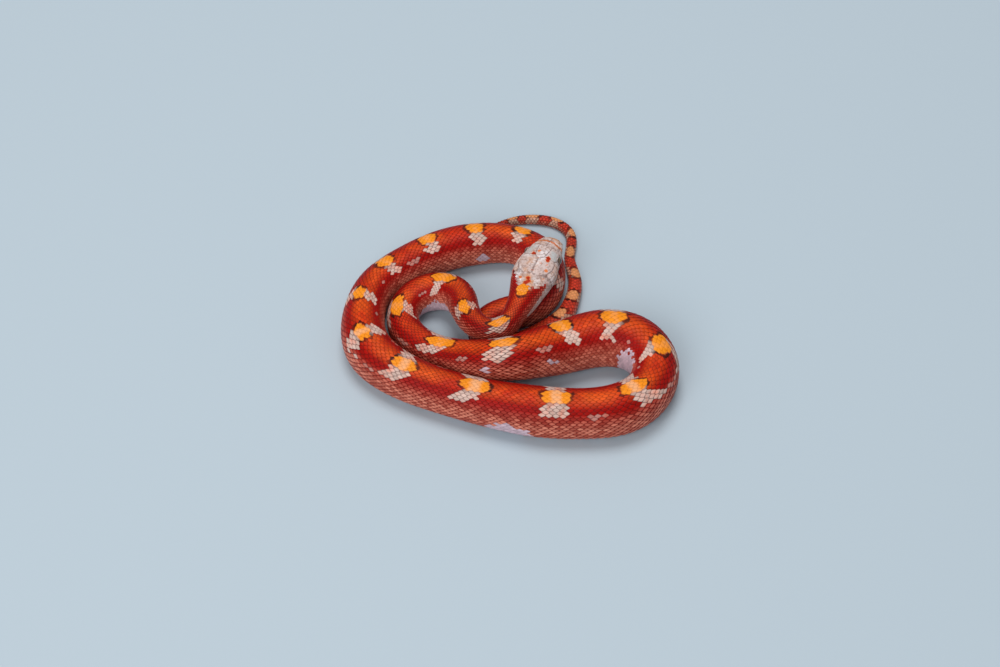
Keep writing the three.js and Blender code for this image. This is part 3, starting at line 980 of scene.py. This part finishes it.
def make_scale_tree(template, material):
    """Geometry Nodes that set one scale on each root point, turned and sized by its attributes."""
    tree = bpy.data.node_groups.new("lay_scales", "GeometryNodeTree")
    tree.interface.new_socket(name="Geometry", in_out="INPUT", socket_type="NodeSocketGeometry")
    grown = tree.interface.new_socket(name="Scale size", in_out="INPUT", socket_type="NodeSocketFloat")
    grown.default_value = 1.0
    tree.interface.new_socket(name="Geometry", in_out="OUTPUT", socket_type="NodeSocketGeometry")
    node = tree.nodes.new
    link = tree.links.new
    start = node("NodeGroupInput")
    end = node("NodeGroupOutput")
    scale = node("GeometryNodeObjectInfo")
    scale.inputs["Object"].default_value = template
    turn = node("GeometryNodeInputNamedAttribute")
    size = node("GeometryNodeInputNamedAttribute")
    for reader, key in ((turn, "turn"), (size, "size")):
        reader.data_type = "FLOAT_VECTOR"
        reader.inputs["Name"].default_value = key
    sized = node("ShaderNodeVectorMath")
    sized.operation = "SCALE"
    rotation = node("FunctionNodeEulerToRotation")
    laid = node("GeometryNodeInstanceOnPoints")
    real = node("GeometryNodeRealizeInstances")
    finish = node("GeometryNodeSetMaterial")
    finish.inputs["Material"].default_value = material
    link(turn.outputs["Attribute"], rotation.inputs[0])
    link(size.outputs["Attribute"], sized.inputs[0])
    link(start.outputs["Scale size"], sized.inputs["Scale"])
    link(start.outputs["Geometry"], laid.inputs["Points"])
    link(scale.outputs["Geometry"], laid.inputs["Instance"])
    link(rotation.outputs[0], laid.inputs["Rotation"])
    link(sized.outputs[0], laid.inputs["Scale"])
    link(laid.outputs["Instances"], real.inputs["Geometry"])
    link(real.outputs["Geometry"], finish.inputs["Geometry"])
    link(finish.outputs["Geometry"], end.inputs["Geometry"])
    return tree


def spacing_at(distance):
    """How far apart the rows of scales are."""
    return np.interp(distance, ROW_SPACING[:, 0], ROW_SPACING[:, 1])


def columns_at(distance):
    """How many columns of scales cover the back and flanks."""
    return np.interp(distance, COLUMNS[:, 0], COLUMNS[:, 1])


def row_places():
    """Distances of the rows of scales from the snout, spaced as the row spacing says."""
    places = [SHIELDS_END]
    while places[-1] < BODY_LENGTH - 1.2:
        places.append(places[-1] + float(spacing_at(places[-1])))
    return np.array(places)


def euler_of(across, along, normal):
    """Euler turns of axes given as columns."""
    turn_y = -np.arcsin(np.clip(across[:, 2], -1, 1))
    turn_x = np.arctan2(along[:, 2], normal[:, 2])
    turn_z = np.arctan2(across[:, 1], across[:, 0])
    return np.stack([turn_x, turn_y, turn_z], axis=-1)


def scale_roots(low, high):
    """Where each scale of the back and flanks between two distances is rooted, column by column."""
    rows = row_places()
    spacing = spacing_at(rows)
    distances = []
    angles = []
    for column in SCALE_COLUMNS:
        offset = 0.5 if column % 2 else 0.0
        d = rows + offset * spacing
        a = column * 2 * PLATE_EDGE / columns_at(d)
        keep = (np.abs(a) < PLATE_EDGE + 0.02) & (d < BODY_LENGTH - 0.8) & (d >= low) & (d < high)
        distances.append(d[keep])
        angles.append(a[keep])
    return np.concatenate(distances), np.concatenate(angles)


def lay_scales(name, low, high, tree, material, slot):
    """The scales rooted between two distances, as one mesh."""
    d, a = scale_roots(low, high)
    wobble = noise(d * 3.7 + a * 11.3, WOBBLE_SEED) * 2 - 1
    chance = noise(d * 5.1 + a * 7.9, CHANCE_SEED)
    depth = coat_depth(d)
    root = surface(d, a, -depth)
    stretch = np.linalg.norm(surface(d + NUDGE, a, -depth) - root, axis=1) / NUDGE
    around = np.linalg.norm(surface(d, a + ANGLE_NUDGE, -depth) - root, axis=1) / ANGLE_NUDGE
    spacing = spacing_at(d)
    column = around * 2 * PLATE_EDGE / columns_at(d)
    covered = spacing * SCALE_LENGTH * np.clip(0.35 + 0.65 * stretch, 0.55, 1.35)
    reach = np.minimum(covered / np.maximum(stretch, 0.3), 1.6 * spacing * SCALE_LENGTH)
    start = surface(d - SCALE_TUCK * reach, a, -depth)
    tip = surface(np.minimum(d + reach, BODY_LENGTH), a, -depth * TIP_DEPTH)
    along = unit(tip - start)
    across = surface(d, a + ANGLE_NUDGE, -depth) - surface(d, a - ANGLE_NUDGE, -depth)
    normal = unit(np.cross(unit(across), along))
    across = np.cross(along, normal)
    length = np.maximum(np.linalg.norm(tip - start, axis=1), 0.3)
    broad = column * SCALE_WIDTH * (0.98 + 0.03 * wobble)
    points = bpy.data.meshes.new(name + "_roots")
    points.vertices.add(len(d))
    points.vertices.foreach_set("co", (start * MM).ravel())
    store(points, "turn", euler_of(across, along, normal))
    store(points, "size", np.stack([broad, length, depth * SCALE_HEIGHT], axis=-1) * MM)
    store(points, "root", np.stack([d, a, wobble], axis=-1))
    store(points, "span", np.stack([reach, broad / around, chance], axis=-1))
    store(points, "broad", broad)
    carrier = add_object(name + "_roots", points)
    grow = carrier.modifiers.new("scales", "NODES")
    grow.node_group = tree
    size_socket = next(s for s in tree.interface.items_tree if s.name == "Scale size")
    grow[size_socket.identifier] = 1.0
    ready = bpy.context.evaluated_depsgraph_get()
    mesh = bpy.data.meshes.new_from_object(carrier.evaluated_get(ready), depsgraph=ready)
    bpy.data.objects.remove(carrier, do_unlink=True)
    mesh.name = name
    dress_scales(mesh)
    return finish_piece(add_object(name, mesh), material, slot)


def dress_scales(mesh):
    """Keeps laid scales above the floor, and gives them their markings, a rim mask for the dark line round each
    scale, which is partly painted groove shade, and their bake map.

    Each scale is a small patch of the map at its root's place on the unwrap.
    """
    root = read_values(mesh, "root", 3)
    span = read_values(mesh, "span", 3)
    local = read_values(mesh, "patch_place", 3)
    d = root[:, 0] + span[:, 0] * ((1 + SCALE_TUCK) * local[:, 1] - SCALE_TUCK)
    a = root[:, 1] + span[:, 1] * local[:, 0]
    middle = root[:, 0] + SCALE_WIDEST * span[:, 0]
    inward = (1 - read_values(mesh, "share")) * 0.5 * read_values(mesh, "broad")
    store(mesh, "rim", np.clip(1 - inward / RIM_WIDTH, 0, 1))
    for key, values in paint(d, a, middle, root[:, 1], root[:, 2], span[:, 2]).items():
        store(mesh, key, values)
    place = unwrap(root[:, 0], root[:, 1]) + local[:, [1, 0]] * PATCH_SIZE
    corners = np.empty(len(mesh.loops), np.int32)
    mesh.loops.foreach_get("vertex_index", corners)
    set_bake_map(mesh, place[corners])
    for key in ("root", "span", "patch_place", "turn", "size", "share", "broad"):
        mesh.attributes.remove(mesh.attributes[key])
    points = np.empty(len(mesh.vertices) * 3, np.float32)
    mesh.vertices.foreach_get("co", points)
    points[2::3] = np.maximum(points[2::3], 0)
    mesh.vertices.foreach_set("co", points)
    mesh.update()


# Belly plates

BELLY_STEPS = 19
BELLY_START = 20.0
TAIL_PLATES_START = 415.0
CHECK_SHARE = 0.16
PLATE_LAP = 1.22

# Each plate from front to rear: share of its length, and lift in coat depths
PLATE_PROFILE = np.array([
    [0.0, -0.95], [0.25, -0.55], [0.7, -0.2], [0.93, -0.12], [1.0, -0.35], [0.99, -0.95],
])
# How dark each step of a plate is at its rim, front to rear: painted shade where the plates lap over one another
PLATE_RIMS = np.array([0.7, 0.1, 0.1, 0.1, 0.9, 0.9])


def lay_belly_plates(name, low, high, material, slot):
    """Broad plates across the belly, one to each row, each lapping over the next."""
    rows = row_places()
    rows = rows[(rows >= max(low, BELLY_START)) & (rows < high)]
    steps = len(PLATE_PROFILE)
    turns = np.linspace(-1, 1, BELLY_STEPS)
    half = math.pi - PLATE_EDGE + 0.1
    d, v, b = np.meshgrid(rows, np.arange(steps), turns, indexing="ij")
    pitch = np.broadcast_to(spacing_at(rows)[:, None, None], d.shape)
    length = PLATE_PROFILE[v, 0] * pitch
    reach = length * PLATE_LAP * (1 - 0.22 * np.abs(b) ** 5)
    where = np.minimum(d + reach - 0.1 * pitch, BODY_LENGTH - 0.05)
    angle = math.pi + b * half
    edge = smoothstep(np.abs(b), 0.9, 1.0)
    lift = (PLATE_PROFILE[v, 1] * (1 - edge) - 0.98 * edge) * coat_depth(where)
    points = surface(where, angle, lift).reshape(-1, 3)
    first_points = np.arange(len(rows))[:, None, None] * steps * BELLY_STEPS
    quads = (first_points + grid_faces(steps, BELLY_STEPS, sides_close=False)).reshape(-1, 4)
    signed = np.where(angle > math.pi, angle - 2 * math.pi, angle).ravel()
    quarter = np.floor((b.ravel() + 1) * 2)
    checked = noise(d.ravel() * 2.3 + quarter * 5.7, CHECK_SEED) < CHECK_SHARE
    tones = noise(d, PLATE_SEED).ravel()
    colours = paint(where.ravel(), signed, d.ravel(), signed, np.zeros(signed.size), tones)
    colours["marks"][:] = 0
    middle_pale = smoothstep(np.abs(signed), 2.34, 2.5)
    colours["place"][:, 2] = np.where(checked, 0.15, np.maximum(middle_pale, colours["place"][:, 2]))
    colours["rim"] = PLATE_RIMS[v].ravel()
    share = (d + length * 0.98) / BODY_LENGTH * UNWRAP_STRIPS
    strip = strip_of(d)
    height = across_strip(strip, 0.5 + b * half / (2 * math.pi))
    flat = np.stack([np.clip(share - strip, 0, 1), height], axis=-1).reshape(-1, 2)
    piece = make_mesh(name, points, [quads], flat[quads.ravel()], colours)
    return finish_piece(piece, material, slot)


# Head shields, in distance from the snout, before shield() stretches it, and share of the way from the
# crown to the mouth, or past 1 on to the throat

CENTRE_SHIELDS = {
    "rostral": [(0.02, 0), (0.05, 0.6), (0.3, 0.92), (0.75, 0.5), (1.05, 0.26), (1.3, 0)],
    "frontal": [(5.55, 0), (5.35, 0.2), (5.6, 0.245), (7.5, 0.2), (9.4, 0.14), (10.3, 0)],
}
SIDE_SHIELDS = {
    "internasal": [(1.38, 0.02), (1.12, 0.28), (1.2, 0.44), (1.9, 0.47), (2.8, 0.44), (2.9, 0.02)],
    "prefrontal": [(3.0, 0.02), (2.92, 0.44), (3.4, 0.53), (4.8, 0.56), (5.2, 0.5), (5.15, 0.23),
                   (5.45, 0.02)],
    "supraocular": [(5.4, 0.27), (5.35, 0.5), (6.0, 0.59), (7.4, 0.62), (8.7, 0.6), (9.5, 0.5),
                    (9.35, 0.17), (7.5, 0.23)],
    "parietal": [(10.4, 0.02), (9.5, 0.17), (9.65, 0.5), (10.4, 0.56), (12.5, 0.54), (14.4, 0.44),
                 (15.7, 0.24), (15.4, 0.02)],
    "nasal_front": [(0.55, 0.8), (0.9, 0.5), (1.15, 0.47), (1.7, 0.5), (1.7, 0.74), (1.0, 0.8)],
    "nasal_rear": [(1.8, 0.5), (2.75, 0.47), (2.8, 0.72), (1.8, 0.74)],
    "loreal": [(2.9, 0.48), (3.4, 0.56), (4.6, 0.59), (4.6, 0.75), (2.9, 0.73)],
    "preocular": [(4.75, 0.59), (5.35, 0.54), (5.8, 0.6), (5.75, 0.78), (4.75, 0.77)],
    "postocular_upper": [(8.9, 0.63), (9.6, 0.54), (10.25, 0.59), (10.25, 0.7), (9.1, 0.71)],
    "postocular_lower": [(9.1, 0.73), (10.25, 0.72), (10.2, 0.83), (8.9, 0.82)],
    "temporal_upper": [(10.4, 0.59), (12.5, 0.57), (12.75, 0.7), (10.4, 0.71)],
    "temporal_lower": [(10.4, 0.73), (12.7, 0.72), (12.7, 0.83), (10.35, 0.83)],
    "temporal_rear_upper": [(12.65, 0.57), (14.5, 0.47), (15.2, 0.56), (14.9, 0.62), (12.8, 0.66)],
    "temporal_rear_middle": [(12.85, 0.68), (15.0, 0.64), (15.2, 0.74), (12.9, 0.76)],
    "temporal_rear_lower": [(12.85, 0.78), (15.2, 0.76), (15.2, 0.85), (12.8, 0.84)],
}
UPPER_LIP = [0.35, 1.5, 2.8, 4.1, 5.5, 7.4, 9.3, 12.0, 15.0]
UPPER_LIP_TOPS = [0.83, 0.77, 0.77, 0.79, 0.84, 0.84, 0.85, 0.855]
LOWER_LIP = [0.3, 1.3, 2.5, 3.8, 5.3, 7.2, 9.2, 11.2, 13.2, 15.2]
CHIN_SHIELDS = {
    "mental": [(0.3, 1.02), (0.3, 1.5), (0.4, 1.97), (1.2, 1.97), (1.25, 1.5), (1.0, 1.1)],
    "chin_front": [(1.4, 1.97), (1.4, 1.4), (2.6, 1.28), (5.3, 1.34), (5.3, 1.97)],
    "chin_rear": [(5.45, 1.97), (5.45, 1.34), (7.2, 1.3), (9.6, 1.45), (9.6, 1.9)],
}


SHIELD_STEP = 0.2
SHIELD_STRETCH = 0.2
SHIELD_STRETCH_RANGE = (1.5, 6)
SHIELD_HEIGHT = 0.95
# Shield edges are darkened from this share of the way out, and by this much: painted shade along the sutures
# between shields
SHIELD_RIM_START = 0.88
SHIELD_RIM = 0.5
SHIELD_RINGS = [
    (0.0, 1.0), (0.14, 1.0), (0.28, 1.0), (0.42, 1.0), (0.55, 0.99), (0.68, 0.98), (0.80, 0.94),
    (0.90, 0.86), (0.97, 0.70), (1.0, 0.5), (1.0, -0.6),
]


def angle_at(distance, share):
    """The angle at a share of the way from the crown to the mouth, and past 1 on to the throat."""
    back = np.clip(distance / MOUTH_CORNER, 0, 1)
    mouth = MOUTH_FRONT_ANGLE + (MOUTH_CORNER_ANGLE - MOUTH_FRONT_ANGLE) * back
    above = np.abs(share) <= 1
    low = np.where(above, 0.0, mouth)
    high = np.where(above, mouth, math.pi)
    turns = low[:, None] + (high - low)[:, None] * np.linspace(0, 1, 40)
    points = surface(np.maximum(distance, 0.05)[:, None], turns)
    steps = np.linalg.norm(np.diff(points, axis=1), axis=2)
    lengths = np.concatenate([np.zeros((len(distance), 1)), np.cumsum(steps, axis=1)], axis=1)
    part = np.where(above, np.abs(share), np.abs(share) - 1)
    found = [np.interp(p, run / run[-1], turn) for p, run, turn in zip(part, lengths, turns)]
    return np.sign(share) * np.array(found)


def dense_outline(outline):
    """The outline's edges cut into short pieces."""
    points = []
    for (d0, q0), (d1, q1) in zip(outline, outline[1:] + outline[:1]):
        count = max(1, int(math.ceil(math.hypot(d1 - d0, (q1 - q0) * 8.0) / SHIELD_STEP)))
        for k in range(count):
            points.append((d0 + (d1 - d0) * k / count, q0 + (q1 - q0) * k / count))
    return np.array(points)


def shield(outline):
    """One domed plate with rounded edges: vertices, triangles, rim and its place on the head."""
    stretched = []
    for d, q in outline:
        stretched.append((d * (1 + SHIELD_STRETCH * float(smoothstep(d, *SHIELD_STRETCH_RANGE))), q))
    edge = dense_outline(stretched)
    count = len(edge)
    middle = edge.mean(axis=0)
    places = [middle[None]] + [middle + (edge - middle) * part for part, _ in SHIELD_RINGS[1:]]
    d, q = np.concatenate(places).T
    lifts = np.concatenate([[1.0]] + [np.full(count, tall) for _, tall in SHIELD_RINGS[1:]])
    parts = np.concatenate([[0.0]] + [np.full(count, part) for part, _ in SHIELD_RINGS[1:]])
    rims = np.maximum(0.0, (parts - SHIELD_RIM_START) / (1 - SHIELD_RIM_START))
    angle = angle_at(d, q)
    depth = coat_depth(d)
    points = surface(d, angle, -depth + depth * SHIELD_HEIGHT * lifts)
    k = np.arange(count)
    after = (k + 1) % count
    faces = [fan_faces(count, 1, 0)]
    for r in range(len(SHIELD_RINGS) - 2):
        a = 1 + r * count + k
        b = 1 + r * count + after
        faces.append(np.stack([a, a + count, b + count], axis=-1))
        faces.append(np.stack([a, b + count, b], axis=-1))
    faces = np.concatenate(faces)
    p = points[faces[0]]
    facing = np.cross(p[1] - p[0], p[2] - p[0])
    outward = points[0] - frame_at(d[:1])[0][0]
    if facing @ outward < 0:
        faces = faces[:, ::-1]
    return points, faces, rims, d, angle


def lip_shields():
    """The row of shields over the mouth and the row under it."""
    rows = []
    for k, top in enumerate(UPPER_LIP_TOPS):
        rows.append((UPPER_LIP[k], UPPER_LIP[k + 1], 0.975, top + 0.015, top + 0.015))
    for k in range(len(LOWER_LIP) - 1):
        rows.append((LOWER_LIP[k], LOWER_LIP[k + 1], 1.03, 1.24 + 0.01 * k, 1.25 + 0.01 * k))
    gap = 0.05
    return [[(front + gap, lip), (front + gap, far), (rear - gap, rear_far), (rear - gap, lip)]
            for front, rear, lip, far, rear_far in rows]


def make_head_shields(material):
    outlines = []
    for outline in CENTRE_SHIELDS.values():
        outlines.append(outline + [(d, -q) for d, q in reversed(outline) if q])
    for outline in list(SIDE_SHIELDS.values()) + list(CHIN_SHIELDS.values()) + lip_shields():
        outlines.append(outline)
        outlines.append([(d, -q) for d, q in reversed(outline)])
    parts = []
    start = 0
    for number, outline in enumerate(outlines):
        points, faces, rims, d, a = shield(outline)
        tones = np.full(len(points), 0.35 + 0.4 * float(noise(number * 1.7, SHIELD_SEED)))
        parts.append((points, faces + start, rims, d, a, tones))
        start += len(points)
    points, faces, rims, d, a, tones = (np.concatenate(values) for values in zip(*parts))
    colours = paint(d, a, d, a, np.zeros(len(d)), tones)
    colours["rim"] = rims * SHIELD_RIM
    flat = unwrap(np.maximum(d, 0), a)
    piece = make_mesh("head_shields", points, [faces], flat[faces.ravel()], colours)
    return finish_piece(piece, material, "head_skin")


# Eyes

EYE_ROWS = 24
EYE_SIDES = 40
PUPIL_EDGE = (0.60, 0.66)
IRIS_EDGE = (0.98, 1.12)
PUPIL_BLACK = srgb(8, 6, 6)
IRIS_DARK = srgb(70, 48, 34)
IRIS_LIGHT = srgb(112, 86, 60)
LID_BROWN = srgb(40, 20, 14)
EYE_RIM_RADIUS = 1.42
EYE_RIM_THICKNESS = 0.13
EYE_RIM_FORWARD = 0.5
EYE_RIM_SCALES = 13
RING_SIDES = 44
RING_ROUND = 10
NOSTRIL_RADIUS = 0.27
NOSTRIL_RIM = 0.07
NOSTRIL_SCALES = 5
PIT_RADIUS = 0.26
PIT_SIDES = 24
# Near-black browns painted in the nostril openings as their shade
PIT_BROWN = srgb(46, 22, 18)
PIT_BLACK = srgb(24, 12, 10)
STREAK_NOISE = 5000
PIT_NOISE = 3000


def eye_material():
    """A dark round pupil in a brown iris, by a mask on the eyeball, under a clear gloss."""
    material, tree, shader = new_material("eye_gloss")
    spread = attribute(tree, "spread", "Fac")
    streaks = object_noise(tree, STREAK_NOISE, 3.0)
    iris = mix(tree, remap(tree, streaks, 0.35, 0.7), IRIS_DARK, IRIS_LIGHT)
    colour = mix(tree, remap(tree, spread, *PUPIL_EDGE), PUPIL_BLACK, iris)
    colour = mix(tree, remap(tree, spread, *IRIS_EDGE), colour, LID_BROWN)
    tree.links.new(colour, shader.inputs["Base Color"])
    shader.inputs["Roughness"].default_value = 0.06
    shader.inputs["Coat Weight"].default_value = 1.0
    shader.inputs["Coat Roughness"].default_value = 0.03
    return material


def pit_material():
    """Painted shade in the nostrils: a near-black brown standing for the dark inside the openings."""
    material, tree, shader = new_material("nostril_shade")
    grain = object_noise(tree, PIT_NOISE, 2.0)
    tree.links.new(mix(tree, grain, PIT_BROWN, PIT_BLACK), shader.inputs["Base Color"])
    shader.inputs["Roughness"].default_value = 0.5
    return material


def circle(count):
    """Evenly spaced angles round a circle."""
    return 2 * math.pi * np.arange(count) / count


def square_to(look, up=(0.0, 0.0, 1.0)):
    """Two directions square to the one looked along, so that faces built on them point outwards."""
    right = unit(np.cross(look, np.array(up)))
    return right, np.cross(look, right)


def eye_place(hand):
    """An eye's centre, and the head's forward, sideways and upward directions there."""
    centre = placed(EYE_DISTANCE, hand * EYE_SIDE, EYE_RISE)[0]
    _, along, side, up, _ = (v[0] for v in frame_at(np.array([EYE_DISTANCE])))
    return centre, along, side * hand, up


def make_eye(name, hand, material):
    """An eyeball that looks outwards and a little forwards, with its clear scale's curve."""
    centre, along, side, up = eye_place(hand)
    look = unit(side - along * 0.18 + up * 0.10)
    right, top = square_to(look, up)
    polar = math.pi * np.arange(1, EYE_ROWS) / EYE_ROWS
    turn = circle(EYE_SIDES)
    t, u = np.meshgrid(polar, turn, indexing="ij")
    direction = (np.cos(t)[..., None] * look + (np.sin(t) * np.cos(u))[..., None] * right
                 + (np.sin(t) * np.sin(u))[..., None] * top)
    points = np.concatenate([direction.reshape(-1, 3), [look], [-look]]) * EYE_RADIUS + centre
    rings = EYE_ROWS - 1
    pole = rings * EYE_SIDES
    faces = [
        grid_faces(rings, EYE_SIDES)[:, [0, 3, 2, 1]],
        fan_faces(EYE_SIDES, 0, pole),
        fan_faces(EYE_SIDES, pole - EYE_SIDES, pole + 1, turned=True),
    ]
    spread = np.concatenate([np.repeat(polar, EYE_SIDES), [0, math.pi]])
    turned = [np.concatenate([np.tile(wave(turn), rings), [0, 0]]) for wave in (np.cos, np.sin)]
    flat = 0.5 + 0.15 * spread[:, None] * np.stack(turned, axis=-1)
    loops = np.concatenate([f.ravel() for f in faces])
    piece = make_mesh(name + "_ball", points, faces, flat[loops], {"spread": spread})
    return finish_piece(piece, material, "eye", name)


def make_ring(name, centre, look, radius, thickness, beads, material):
    """A ring of small scales, round an eye or a nostril."""
    right, top = square_to(look)
    t, u = np.meshgrid(circle(RING_SIDES), circle(RING_ROUND), indexing="ij")
    thick = thickness * (1 + 0.18 * np.cos(beads * t))
    outward = np.cos(t)[..., None] * right + np.sin(t)[..., None] * top
    points = centre + outward * (radius + thick * np.cos(u))[..., None]
    points = points + look * (thick * np.sin(u))[..., None]
    faces = grid_faces(RING_SIDES, RING_ROUND, rows_close=True)[:, [0, 3, 2, 1]]
    flat = np.stack([t.ravel(), u.ravel()], axis=-1) / (2 * math.pi) * 0.1
    count = t.size
    # The fixed rim gives the whole ring a little painted groove shade
    masks = {
        "marks": np.zeros((count, 3)),
        "place": np.tile([0.7, 1.0, 0.0], (count, 1)),
        "rim": np.full(count, 0.4),
        "tone": np.full(count, 0.3),
        "tail": np.zeros(count),
    }
    piece = make_mesh(name, points.reshape(-1, 3), [faces], flat[faces.ravel()], masks)
    return finish_piece(piece, material, "head_skin")


def make_eye_rim(name, hand, material):
    """The ring of small scales round an eye, which closes the gap to the socket."""
    centre, along, side, up = eye_place(hand)
    look = unit(side - along * 0.05 + up * 0.12)
    place = centre + look * EYE_RIM_FORWARD
    return make_ring(name + "_rim", place, look, EYE_RIM_RADIUS, EYE_RIM_THICKNESS, EYE_RIM_SCALES, material)


def make_pit(name, centre, look, material):
    """A shallow round lens, closed all round."""
    right, top = square_to(look)
    turn = circle(PIT_SIDES)
    edge = centre + PIT_RADIUS * (np.cos(turn)[:, None] * right + np.sin(turn)[:, None] * top)
    points = np.concatenate([edge, [centre + look * 0.02], [centre - look * 0.1]])
    faces = [fan_faces(PIT_SIDES, 0, PIT_SIDES), fan_faces(PIT_SIDES, 0, PIT_SIDES + 1, turned=True)]
    flat = np.tile(np.array([[0.0, 0.0], [0.01, 0.0], [0.0, 0.01]]), (2 * PIT_SIDES, 1))
    return finish_piece(make_mesh(name, points, faces, flat, {}), material, "head_skin")


def make_nostril(name, hand, rim_finish, pit_finish):
    """A nostril: a dark disc of painted shade between the two nasal shields, with a low rim."""
    distance = np.array([NOSTRIL_DISTANCE])
    angle = np.array([hand * NOSTRIL_ANGLE])
    centre = surface(distance, angle, -0.04)[0]
    look = unit(surface(distance, angle, 0.1)[0] - centre)
    make_ring(name + "_rim", centre, look, NOSTRIL_RADIUS, NOSTRIL_RIM, NOSTRIL_SCALES, rim_finish)
    make_pit(name + "_pit", centre - look * 0.02, look, pit_finish)


# Stage

def make_floor():
    mesh = bpy.data.meshes.new("floor")
    corners = [(x * FLOOR_HALF, y * FLOOR_HALF, 0) for x, y in ((-1, -1), (1, -1), (1, 1), (-1, 1))]
    mesh.from_pydata(corners, [], [(0, 1, 2, 3)])
    piece = add_object("floor", mesh)
    material, _, shader = new_material("floor_pale")
    shader.inputs["Base Color"].default_value = FLOOR_BLUE
    shader.inputs["Roughness"].default_value = 0.75
    shader.inputs["Specular IOR Level"].default_value = 0.2
    mesh.materials.append(material)


def add_light(name, place, size, power):
    """A soft round light that shines at the middle of the coil."""
    data = bpy.data.lights.new(name, "AREA")
    data.shape = "DISK"
    data.size = size
    data.energy = power
    light = add_object(name, data)
    light.location = place
    light.rotation_euler = (-Vector(place)).to_track_quat("-Z", "Y").to_euler()


def make_camera():
    tilt = math.radians(CAMERA_ELEVATION)
    data = bpy.data.cameras.new("camera")
    data.sensor_width = SENSOR_WIDTH
    data.lens = SENSOR_WIDTH * FOCAL_PIXELS / PHOTO_WIDTH
    data.clip_start = 0.01
    camera = add_object("camera", data)
    x, y, z = CAMERA_TARGET
    camera.location = (
        x * MM,
        (y - CAMERA_DISTANCE * math.cos(tilt)) * MM,
        (z + CAMERA_DISTANCE * math.sin(tilt)) * MM,
    )
    camera.rotation_euler = (math.pi / 2 - tilt, 0, 0)
    bpy.context.scene.camera = camera


def make_light():
    world = bpy.data.worlds.new("studio")
    world.use_nodes = True
    background = world.node_tree.nodes["Background"]
    background.inputs["Color"].default_value = WORLD_TINT
    background.inputs["Strength"].default_value = WORLD_STRENGTH
    bpy.context.scene.world = world
    for light in LIGHTS:
        add_light(*light)
    bpy.context.scene.view_settings.view_transform = "Standard"


make_camera()
make_light()
make_floor()

# The skin between scales is darkened strongly, partly its own darker colour and partly painted shade in the gaps
skin_material = snake_material("skin_between_scales", roughness=0.55, darken=0.75)
scale_material = snake_material("scale_satin", roughness=0.40)
shield_material = snake_material("head_shield_satin", roughness=0.42, grain=2500.0)
belly_material = snake_material("belly_plate_satin", roughness=0.42)
eye_finish = eye_material()
pit_finish = pit_material()

make_skin(skin_material)
template = scale_template()
scale_tree = make_scale_tree(template, scale_material)
for piece_name, begins, ends, piece_slot in SCALE_PIECES:
    lay_scales(piece_name, begins, ends, scale_tree, scale_material, piece_slot)
bpy.data.objects.remove(template, do_unlink=True)
lay_belly_plates("belly_plates", 0.0, TAIL_PLATES_START, belly_material, "torso_skin")
lay_belly_plates("tail_plates", TAIL_PLATES_START, BODY_LENGTH - 1.5, belly_material, "tail_skin")
make_head_shields(shield_material)
for side_name, side_hand in (("left", -1), ("right", 1)):
    make_eye("eye_" + side_name, side_hand, eye_finish)
    make_eye_rim("eye_" + side_name, side_hand, shield_material)
    make_nostril("nostril_" + side_name, side_hand, shield_material, pit_finish)
